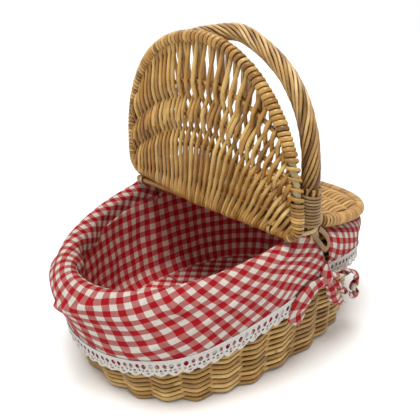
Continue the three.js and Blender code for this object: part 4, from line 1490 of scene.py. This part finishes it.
@dataclass(frozen=True)
class CuffCut:
    """How one cuff is cut and how it hangs.

    Attributes:
        end: The end of the basket that it folds over.
        drop: Depth over which it eases off the wall.
        edge_depths: Depths below the rim at which its edges beside the handle are given.
        edge_places: How far along the wall those edges lie.
        inner_place: How far along the wall its edges lie inside the basket.
        hem_steps: Distances along the hem from its edges.
        hem_depths: Depth of the hem at those distances.
        lace_from: Distance from its edges at which the lace begins.
        grain_steps: Distances along the rim from the middle, positive towards the near side.
        grain_turns: How far the threads are turned against the rim there, in degrees.
        lift: How far its top climbs at its edges.
        bulge: How far the roll over the rim stands out where it is fullest.
        bulge_at: How far from its middle it is fullest, as a share of its length.
        bulge_depth: Depth below the rim at which it is fullest.
        swells: Place along the cuff from its middle, height and width of each swell inside the rim.
        folds: Place along the cuff and depth at which each fold begins and ends, and its height.
        seed: Picks its creases.
    """

    end: End
    drop: float
    edge_depths: tuple[float, ...]
    edge_places: tuple[float, ...]
    inner_place: float
    hem_steps: tuple[float, ...]
    hem_depths: tuple[float, ...]
    lace_from: float
    grain_steps: tuple[float, ...]
    grain_turns: tuple[float, ...]
    lift: float
    bulge: float
    bulge_at: float
    bulge_depth: float
    swells: tuple[tuple[float, float, float], ...]
    folds: tuple[tuple[float, float, float, float, float], ...]
    seed: int


FRONT_CUT = CuffCut(
    End.FRONT, drop=62.0,
    edge_depths=(-9.0, -6.4, 0.8, 15.0, 36.8), edge_places=(-9.0, -5.0, 4.3, 17.2, 24.0), inner_place=0.0,
    hem_steps=(0.0, 50.0, 75.0, 100.0), hem_depths=(42.0, 50.0, 57.5, 60.5), lace_from=31.0,
    grain_steps=(-220.0, -110.0, 0.0, 60.0, 110.0, 220.0), grain_turns=(30.0, 28.0, 8.0, -12.0, -24.0, -26.0),
    lift=7.0, bulge=7.0, bulge_at=0.0, bulge_depth=16.0,
    swells=((-62.0, 7.0, 20.0), (-118.0, 4.0, 24.0), (40.0, 3.0, 30.0)),
    folds=((-12.0, 24.0, 44.0, -2.0, 5.0), (107.0, -3.0, 113.0, 13.0, 4.2), (-75.0, 14.0, -35.0, 42.0, 3.4),
           (62.0, 50.0, 150.0, 22.0, 2.2), (-148.0, 20.0, -120.0, 44.0, 2.0)), seed=11)
REAR_CUT = CuffCut(
    End.REAR, drop=34.0,
    edge_depths=(-2.0, 6.0, 18.6, 33.0), edge_places=(21.0, 24.6, 23.5, 27.0), inner_place=3.0,
    hem_steps=(0.0, 24.0, 52.0, 90.0), hem_depths=(35.0, 32.0, 29.0, 30.5), lace_from=1.0,
    grain_steps=(-200.0, 0.0, 200.0), grain_turns=(16.0, 0.0, -16.0),
    lift=0.0, bulge=5.0, bulge_at=0.25, bulge_depth=9.0,
    swells=((-60.0, 3.0, 30.0), (50.0, 4.0, 30.0)),
    folds=((40.0, 4.0, 75.0, 24.0, 1.8), (-80.0, 6.0, -40.0, 26.0, 1.8)), seed=23)


@dataclass
class Liner:
    """Gingham bag, the cuffs folded over the rim and their lace."""

    form: BodyForm
    cloth: float = 0.9
    stand_off: float = 1.9
    cuff_inside: float = 24.0
    cuff_ease: float = 7.0
    ease_wave: float = 0.7
    folds: int = 5
    fold_depth: float = 4.0
    fold_slope: float = 7.0
    fold_drop: float = 2.0
    fold_fade: float = 6.0
    crease_height: float = 1.1
    crease_run: float = 14.0
    bulge_length: float = 80.0
    roll_depth: float = 12.0
    tuck_below: float = 18.0
    tuck_run: float = 20.0
    turned_under: float = 10.0
    under_run: float = 12.0
    swell_run: float = 12.0
    leg_bulge: float = 3.0
    leg_width: float = 9.0
    lift_width: float = 9.0
    columns: int = 241
    inside_rows: int = 6
    over_rows: int = 11
    hang_rows: int = 30
    lace_drop: float = 16.5
    lace_cell: float = 1.0
    lace_overlap: float = 1.5
    lace_off: float = 1.2
    lace_follow: float = 6.0
    lace_cloth: float = 0.7
    ruffle: float = 0.8
    scallop: float = 13.0
    scallop_depth: float = 3.4
    net_pitch: float = 4.33
    net_middle: float = 2.17
    check: float = 15.0
    bag_columns: int = 160
    bag_rows: int = 26
    base_rows: int = 22
    base_grain: float = 41.0
    bag_floor: float = 1.9
    bag_gap: float = 2.4
    bag_ease: float = 1.2
    bag_pinch: float = 9.0
    bag_crease: float = 1.6
    base_lift: float = 0.9
    base_relief: float = 0.8
    base_wave: float = 90.0
    tucked: float = 6.0

    @property
    def reach(self) -> float:
        """Out from the middle of the wall to the cuff's cloth, before it eases off."""
        return self.form.border_radius + self.stand_off

    def ease(self, depth: Array, fold: Array, drop: float) -> Array:
        """How far the cloth stands off the wall, more on the folds towards the hem."""
        share = ramp(depth, 0, drop)
        return self.cuff_ease * np.sin(share * np.pi * self.ease_wave) + self.fold_depth * fold * share

    def hang(self, cut: CuffCut, along: Array, depth: Array, length: float) -> Array:
        """How far a cuff stands off the wall, with its folds, creases and the bulge where it is fullest.

        Args:
            cut: The cuff.
            along: From its far end to its near one, 0 to 1.
            depth: Below the rim.
            length: Of the cuff along the rim.

        Returns:
            The distance off the wall.
        """
        fold = 0.5 - 0.5 * np.cos(along * self.folds * TURN)
        crease = surface_noise(along * 9, depth / 60, cut.seed)
        crease = crease * self.crease_height * ramp(depth, 0, self.crease_run)
        full = cut.bulge * bell((np.abs(along - 0.5) - cut.bulge_at) * length, self.bulge_length)
        roll = full * bell(depth - cut.bulge_depth, self.roll_depth)
        tuck = 0.5 * full * ramp(depth, cut.bulge_depth + self.tuck_below, self.tuck_run)
        pressed = self.folded(cut, along, depth, length)
        return self.ease(depth, fold, cut.drop) + crease + roll - tuck + pressed

    def folded(self, cut: CuffCut, along: Array, depth: Array, length: float) -> Array:
        """Height of the pressed folds, each with a slow slope on one side and a sharp one on the other."""
        place = (along - 0.5) * length
        height = np.zeros(np.broadcast_shapes(place.shape, depth.shape))
        for from_place, from_depth, to_place, to_depth, rise in cut.folds:
            step = np.array([to_place - from_place, to_depth - from_depth])
            run = math.hypot(*step)
            on = ((place - from_place) * step[0] + (depth - from_depth) * step[1]) / run
            off = ((depth - from_depth) * step[0] - (place - from_place) * step[1]) / run
            fade = self.fold_fade
            ends = ramp(on, -fade, fade) * ramp(run - on, -fade, fade)
            below_crest = ramp(depth, -2, 8)
            width = np.where(off > 0, self.fold_slope, self.fold_drop)
            height = height + rise * ends * below_crest * bell(off, width)
        return height

    def crest_length(self, cut: CuffCut) -> float:
        """Length of a cuff along the rim."""
        angles = self.angles(cut, np.linspace(0, 1, 200), np.asarray(cut.edge_depths[:1]), 0.0)[0]
        return float(path_lengths(self.form.at_share(angles, np.ones(200), 0.0))[-1])

    def angles(self, cut: CuffCut, along: Array, edge_depth: Array, out: Array) -> Array:
        """Angles round the oval over a cuff.

        Args:
            cut: The cuff.
            along: From its far end to its near one, 0 to 1.
            edge_depth: Depth of the edges in each row.
            out: Distance off the middle of the wall in each row, negative inside it.

        Returns:
            Rows by columns of angles.
        """
        place = np.interp(edge_depth, cut.edge_depths, cut.edge_places)
        place = lerp(place, cut.inner_place, np.clip(-out / self.reach, 0, 1) ** 4)
        drawn = place * self.form.rim_half_length / (self.form.rim_half_length + np.maximum(out, 0.0))
        start = np.reshape(self.form.angle_at_x(drawn, 1), (-1, 1))
        stop = TURN - start if cut.end is End.FRONT else -start
        return lerp(start, stop, along[None, :])

    def hem(self, cut: CuffCut, along: Array, length: float) -> tuple[Array, Array]:
        """Depth of the seam above the lace, and how far the cloth runs on behind the lace."""
        reach = np.minimum(along, 1 - along) * length
        seam = np.interp(reach, cut.hem_steps, cut.hem_depths)
        return seam, self.turned_under * ramp(reach, cut.lace_from, self.under_run)

    def cuff_grid(self, cut: CuffCut, along: Array) -> Array:
        """Places on a cuff, rows from inside the wall over the border and down to the hem."""
        border = self.form.border_radius
        turn = np.linspace(np.pi, 0, self.over_rows + 2)[1:-1]
        share = np.linspace(0, 1, self.hang_rows)
        length = self.crest_length(cut)
        seam, under = self.hem(cut, along, length)
        inside = np.linspace(self.cuff_inside, border, self.inside_rows)
        above = np.concatenate([inside, border - self.reach * np.sin(turn)])
        hanging = border + share[:, None] * (seam + under - border)
        depth = np.concatenate([np.repeat(above[:, None], len(along), 1), hanging])
        out = np.concatenate([np.full(self.inside_rows, -self.reach), self.reach * np.cos(turn),
                              np.full(self.hang_rows, self.reach)])
        climb = cut.lift * bell(np.minimum(along, 1 - along) * length, self.lift_width)
        over = np.sin(np.linspace(0, np.pi / 2, self.over_rows))
        raised = np.concatenate([np.zeros(self.inside_rows), over, (1 - share) ** 2])
        depth = depth - raised[:, None] * climb[None, :]
        edge_depth = np.where(out > 3, depth[:, 0], cut.edge_depths[0])
        angle = self.angles(cut, along, edge_depth, out)
        inward = self.leg_bulge * bell(self.form.rim_half_length * np.cos(angle), self.leg_width)
        for place, height, width in cut.swells:
            across = bell((along - 0.5) * length - place, width)
            inward = inward + height * across[None, :] * ramp(depth, 0, self.swell_run)
        hang = self.hang(cut, along[None, :], depth, length)
        return self.form.at_depth(angle, depth, out[:, None] + np.where(out[:, None] > 0, hang, -inward))

    def flat_cloth(self, cut: CuffCut, points: Array) -> Array:
        """Flat coordinates of a cuff, in millimetres, with threads that turn slowly against the rim."""
        crest_row = self.inside_rows + self.over_rows // 2
        along = path_lengths(points[crest_row])
        turn = np.radians(np.interp(along - along[-1] / 2, cut.grain_steps, cut.grain_turns))
        turn = smoothed(turn, 13)
        step = np.diff(along, prepend=0.0)
        crest = join(np.cumsum(step * np.cos(turn)), -np.cumsum(step * np.sin(turn)))
        down = path_lengths(points[:, self.columns // 2])
        down = (down - down[crest_row])[:, None, None]
        return crest + down * join(np.sin(turn), np.cos(turn))

    def cuff(self, shop: Workshop, cut: CuffCut) -> None:
        """Makes a cuff and the lace on its hem."""
        name = label(cut.end)
        points = self.cuff_grid(cut, np.linspace(0, 1, self.columns))
        cuff = shop.sheet(f"{name}_cuff_cloth", points, self.flat_cloth(cut, points), GINGHAM, self.cloth,
                          ("basket", "gingham", f"{name}_cuff"))
        lace = self.lace(shop, cut)

    def lace(self, shop: Workshop, cut: CuffCut) -> bpy.types.Object:
        """Makes the lace over a cuff's hem, with its eyelets and scallops cut out."""
        name = label(cut.end)
        length = self.crest_length(cut)
        first = cut.lace_from / length
        fine = np.linspace(first, 1 - first, 500)
        edge = np.asarray([cut.hem_depths[0]])
        seam, _ = self.hem(cut, fine, length)
        angle = self.angles(cut, fine, edge, self.reach)[0]
        run = path_lengths(self.form.at_depth(angle, seam, self.reach + self.cuff_ease))
        place = np.linspace(0, run[-1], int(run[-1] / self.lace_cell))
        along = np.interp(place, run, fine)
        seam, _ = self.hem(cut, along, length)
        count = int(self.lace_drop / self.lace_cell) + 2
        down = np.linspace(-self.lace_overlap, self.lace_drop, count)[:, None]
        depth = seam[None, :] + down
        hang = self.hang(cut, along[None, :], np.minimum(depth, seam[None, :] + self.lace_follow), length)
        ruffle = self.ruffle * np.sin(TURN * place / self.scallop) * ramp(down, 0, self.lace_drop)
        angle = self.angles(cut, along, edge, self.reach)
        points = self.form.at_depth(angle, depth, self.reach + self.lace_off + hang + ruffle)
        flat = join(place[None, :], down)
        thread = self.lace_pattern(0.5 * (place[1:] + place[:-1])[None, :], 0.5 * (down[1:] + down[:-1]))
        return shop.sheet(f"{name}_lace_edging", points, flat, COTTON, self.lace_cloth,
                          ("basket", "lace", f"{name}_lace"), keep=thread)

    def lace_pattern(self, s: Array, t: Array) -> Array:
        """Where the flat lace is thread, by places along it and down from its sewn edge."""
        def eyelet(pitch: float, middle: float, half_wide: float, down: float, half_high: float) -> Array:
            """Where an oval hole lies, which repeats along the lace."""
            return ((np.mod(s, pitch) - middle) / half_wide) ** 2 + ((t - down) / half_high) ** 2 < 1

        wave = np.abs(np.sin(np.pi * s / self.scallop))
        inside = t < self.lace_drop - self.scallop_depth + self.scallop_depth * wave ** 0.7
        ovals = eyelet(self.scallop / 2, self.scallop / 4, 1.9, 5.4, 2.4)
        net = eyelet(self.net_pitch, self.net_middle, 1.15, 10.2, 1.1)
        fan = eyelet(self.scallop, self.scallop / 2, 1.5, 13.0, 0.9)
        return inside & ~(ovals | net | fan)

    def bag(self, shop: Workshop) -> None:
        """Makes the bag that lines the wall and the base."""
        walk = RimWalk(self.form)
        share_round = np.arange(self.bag_columns) / self.bag_columns
        distance = share_round * walk.total
        angles = walk.angle(share_round)
        floor = self.form.base_thickness + self.bag_floor
        inner = -self.form.wall / 2 - self.bag_gap
        top = self.form.at_depth(angles, np.full(self.bag_columns, self.cuff_inside - self.tucked), inner)
        rows = []
        for share in np.linspace(0, 1, self.bag_rows):
            z = lerp(top[:, 2], floor, share)
            pinch = self.bag_pinch * ramp(share, 0.8, 0.2) ** 2
            slack = self.bag_crease * math.sin(math.pi * min(share * 1.1, 1.0))
            crease = surface_noise(distance / 55, z / 80, 31) * slack
            rows.append(self.form.at_height(angles, z, inner - pinch - self.bag_ease - crease))
        wall = np.stack(rows)
        # The flat cloth is scaled so that whole checks meet at its seam.
        stretch = round(walk.total / self.check) * 2 * GINGHAM.square_mm / walk.total
        flat = join(distance, wall[..., 2]) * stretch
        side = shop.sheet("liner_side", wall, flat, LINING, self.cloth, ("basket", "gingham", "liner_bag"),
                          closed=True)
        spread = np.linspace(1.03, 0.02, self.base_rows)
        base = wall[-1][None] * np.array([1.0, 1.0, 0.0]) * spread[:, None, None]
        relief = surface_noise(base[..., 0] / self.base_wave, base[..., 1] / self.base_wave, 17)
        base[..., 2] = floor + self.base_lift + self.base_relief * relief
        base = np.concatenate([base, base[:, :1]], 1)
        grain = math.radians(self.base_grain)
        cos, sin = math.cos(grain), math.sin(grain)
        rotated = base[..., :2] @ np.array([[cos, -sin], [sin, cos]]) * stretch
        bottom = shop.sheet("liner_base", base, rotated, LINING, self.cloth, ("basket", "gingham"))

    def build(self, shop: Workshop) -> None:
        """Makes the liner's pieces."""
        self.bag(shop)
        self.cuff(shop, FRONT_CUT)
        self.cuff(shop, REAR_CUT)


@dataclass(frozen=True)
class Strip:
    """A strip of a tie.

    Attributes:
        label: Its name in the bow.
        flat_half: Half its width when laid flat; not used.
        twist: How fast it turns about its own run, in radians each millimetre.
        fray: How ragged its free end is.
        seed: Picks its creases.
        stations: Along the wall, below the rim, half width, lift and roll, in radians, of each station.
    """

    label: str
    flat_half: float
    twist: float
    fray: float
    seed: int
    stations: tuple[tuple[float, float, float, float, float], ...]


# The tails and the loop start inside the knot.
STRIPS = (
    Strip("front_tail", 14.5, 0.0, 3.0, 51,
          ((15.0, 43.0, 4.0, 3.5, 1.4), (6.0, 46.0, 7.0, 2.6, 0.9), (-5.0, 50.0, 11.0, 2.0, 0.55),
           (-14.0, 57.0, 14.5, 1.8, 0.4), (-17.5, 66.0, 12.5, 1.8, 0.4), (-16.0, 74.0, 7.5, 2.0, 0.5),
           (-14.5, 80.0, 3.0, 2.4, 0.6))),
    Strip("rear_loop", 7.4, 0.11, 0.0, 52,
          ((17.0, 40.0, 5.0, 2.5, 1.5), (27.0, 43.0, 7.0, 3.0, 2.1), (41.0, 44.0, 7.4, 5.0, 2.3),
           (58.0, 48.5, 7.4, 6.0, 2.3), (68.0, 54.0, 7.4, 6.0, 2.3), (75.0, 64.0, 7.4, 6.0, 2.3),
           (67.0, 70.0, 7.4, 6.0, 2.3), (76.0, 76.0, 7.4, 6.0, 2.3), (84.0, 83.0, 7.4, 5.5, 2.3),
           (73.0, 83.0, 7.4, 5.0, 2.3), (55.0, 74.0, 7.4, 5.0, 2.3), (33.0, 56.0, 7.0, 4.0, 2.1),
           (20.0, 46.0, 5.0, 2.5, 1.5))),
    Strip("rear_tail", 8.0, 0.02, 2.0, 53,
          ((17.0, 47.0, 5.0, 3.0, 1.5), (25.0, 57.0, 7.0, 2.6, 1.2), (34.0, 69.5, 8.0, 3.0, 1.0),
           (47.0, 79.0, 8.0, 3.0, 0.9), (60.0, 87.0, 5.0, 3.0, 1.0))))


@dataclass
class Ties:
    """The cloth bow at one foot of the handle."""

    liner: Liner
    side: Side
    knot_x: float = 16.0
    knot_depth: float = 41.0
    knot_radius: float = 6.0
    knot_lift: float = 2.2
    cloth: float = 0.9
    strip_columns: int = 15

    def outside(self, x: Array, depth: Array, lift: Array) -> Array:
        """A place lifted off the outside of the cuffs, beside the handle."""
        form = self.liner.form
        out = self.liner.reach + self.liner.ease(depth, np.ones_like(depth), FRONT_CUT.drop) + lift
        drawn = x * form.rim_half_length / (form.rim_half_length + out)
        return form.at_depth(form.angle_at_x(drawn, self.side.value), depth, out)

    def strip(self, strip: Strip) -> tuple[Array, Array]:
        """A crumpled strip of cloth along its stations, rolled in at its edges.

        Args:
            strip: The strip to lay.

        Returns:
            The strip's places and its flat coordinates, in millimetres.
        """
        path = catmull_rom(np.array(strip.stations, float), 9)
        run = tangents(path[:, :2])
        run_x, run_depth = run[:, :1], run[:, 1:]
        place_x, place_depth, half, lift, roll = (path[:, k:k + 1] for k in range(5))
        length = path_lengths(path[:, :2])[:, None]
        across = np.linspace(-1, 1, self.strip_columns)[None, :]
        rng = np.random.default_rng(strip.seed)
        near_end = np.clip(length / length[-1] * 5 - 4, 0, 1)
        ragged = strip.fray * rng.uniform(-1, 1, self.strip_columns) * near_end
        turned = roll * across + strip.twist * length
        sideways = half / roll * np.sin(turned)
        crown = half / roll * (np.cos(turned) - np.cos(roll))
        x = place_x - run_depth * sideways + ragged * run_x
        depth = place_depth + run_x * sideways + ragged * run_depth
        relief = surface_noise(length / 22, across * 0.6, strip.seed) * 0.7
        flat = join(length + 3.0, half * across + 1.5)
        return self.outside(x, depth, lift + crown + relief), flat

    def knot(self) -> tuple[Array, Array]:
        """The places and flat coordinates of the knot, a tight crumpled roll of cloth that stands upright."""
        centre = self.outside(*(np.full(1, v) for v in (self.knot_x, self.knot_depth, self.knot_lift)))[0]
        across = np.linspace(0, TURN, 25)[None, :]
        up = np.linspace(-0.5 * np.pi, 0.5 * np.pi, 17)[:, None]
        radius = self.knot_radius * (1 + 0.15 * surface_noise(across / np.pi, up / 1.2, 44) * np.cos(up))
        x = 0.9 * radius * np.cos(up) * np.cos(across)
        y = 0.9 * radius * np.cos(up) * np.sin(across)
        z = 1.95 * radius * np.sin(up) * np.ones_like(across)
        points = centre + join(x + 0.12 * z, y, z)
        points[:, -1] = points[:, 0]
        flat = join(across * self.knot_radius, up * self.knot_radius * 1.4)
        return points, flat

    def build(self, shop: Workshop) -> None:
        """Makes the knot, the two tails and the loop."""
        name = label(self.side)
        knot = shop.sheet(f"{name}_knot", *self.knot(), GINGHAM, self.cloth,
                          ("basket", "gingham", f"{name}_tie_knot"))
        for strip in STRIPS:
            points, flat = self.strip(strip)
            piece = shop.sheet(f"{name}_{strip.label}_cloth", points, flat, GINGHAM, self.cloth,
                               ("basket", "gingham", f"{name}_tie_{strip.label}"))


# Camera, floor and light


@dataclass
class Studio:
    """Pale floor, soft light and the photograph's camera, solved from the photograph's outlines."""

    azimuth: float = -40.716
    elevation: float = 21.912
    roll: float = -1.884
    distance: float = 545.733
    focal_px: float = 496.284
    frame_px: float = 420.0
    sensor: float = 36.0
    target: tuple[float, float, float] = (-8.857, -2.618, 138.359)
    floor_half: float = 6.0
    floor_colour: str = "#fdfdfc"
    ambient: float = 0.44
    lamp: float = 2.6
    lamp_spread: float = 30.0
    lamp_from: tuple[float, float, float] = (-0.2, -0.12, 0.97)

    def camera(self) -> None:
        """Sets the camera to the photograph's place and angle."""
        a, e, r = (math.radians(v) for v in (self.azimuth, self.elevation, self.roll))
        back = Vector((math.sin(a) * math.cos(e), -math.cos(a) * math.cos(e), math.sin(e)))
        right = Vector((math.cos(a), math.sin(a), 0.0))
        up = back.cross(right)
        tilted = right * math.cos(r) + up * math.sin(r)
        raised = up * math.cos(r) - right * math.sin(r)
        data = bpy.data.cameras.new("photo_camera")
        data.sensor_width = self.sensor
        data.lens = self.focal_px / self.frame_px * self.sensor
        data.clip_start = 0.01
        camera = link_object("photo_camera", data)
        place = Vector(self.target) * MM + back * self.distance * MM
        turn = Matrix((tilted, raised, back)).transposed().to_4x4()
        camera.matrix_world = Matrix.Translation(place) @ turn
        bpy.context.scene.camera = camera

    def floor(self) -> None:
        """Lays the pale floor."""
        half = self.floor_half
        corners = [(-half, -half, 0), (half, -half, 0), (half, half, 0), (-half, half, 0)]
        mesh = bpy.data.meshes.new("studio_floor")
        mesh.from_pydata(corners, [], [(0, 1, 2, 3)])
        material, graph, shader = new_material("pale floor")
        graph.feed(shader, {"Base Color": linear(self.floor_colour), "Roughness": 0.9,
                            "Specular IOR Level": 0.1})
        mesh.materials.append(material)
        link_object("studio_floor", mesh)

    def light(self) -> None:
        """Adds an even world, white to the camera, and one broad soft lamp from almost overhead."""
        world = bpy.data.worlds.new("studio")
        world.use_nodes = True
        graph = Graph(world.node_tree)
        rays = graph.node("ShaderNodeLightPath").outputs
        seen = rays["Is Camera Ray"]
        for other in ("Is Glossy Ray", "Is Transmission Ray"):
            seen = graph.calc("MAXIMUM", seen, rays[other])
        strength = graph.remap(seen, (0.0, 1.0), (self.ambient, 1.0))
        graph.feed(world.node_tree.nodes["Background"], {"Color": (1.0, 1.0, 1.0, 1.0), "Strength": strength})
        bpy.context.scene.world = world
        data = bpy.data.lights.new("soft_lamp", "SUN")
        data.energy = self.lamp
        data.angle = math.radians(self.lamp_spread)
        lamp = link_object("soft_lamp", data)
        lamp.rotation_mode = "QUATERNION"
        lamp.rotation_quaternion = Vector(self.lamp_from).to_track_quat("Z", "Y")

    def build(self) -> None:
        """Makes the studio."""
        self.camera()
        self.floor()
        self.light()
        bpy.context.scene.view_settings.view_transform = "Standard"


def main() -> None:
    """Builds the basket piece by piece."""
    logging.basicConfig(level=logging.INFO, format="%(name)s: %(message)s")
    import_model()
    Studio().build()
    shop = Workshop()
    form = BodyForm()
    handle = Handle(form)
    liner = Liner(form)
    WovenBody(form).build(shop)
    handle.build(shop)
    HingeTies(handle).build(shop)
    front_lid(handle).build(shop)
    rear_lid(handle).build(shop)
    liner.build(shop)
    for side in Side:
        Ties(liner, side).build(shop)


if __name__ == "__main__":
    main()
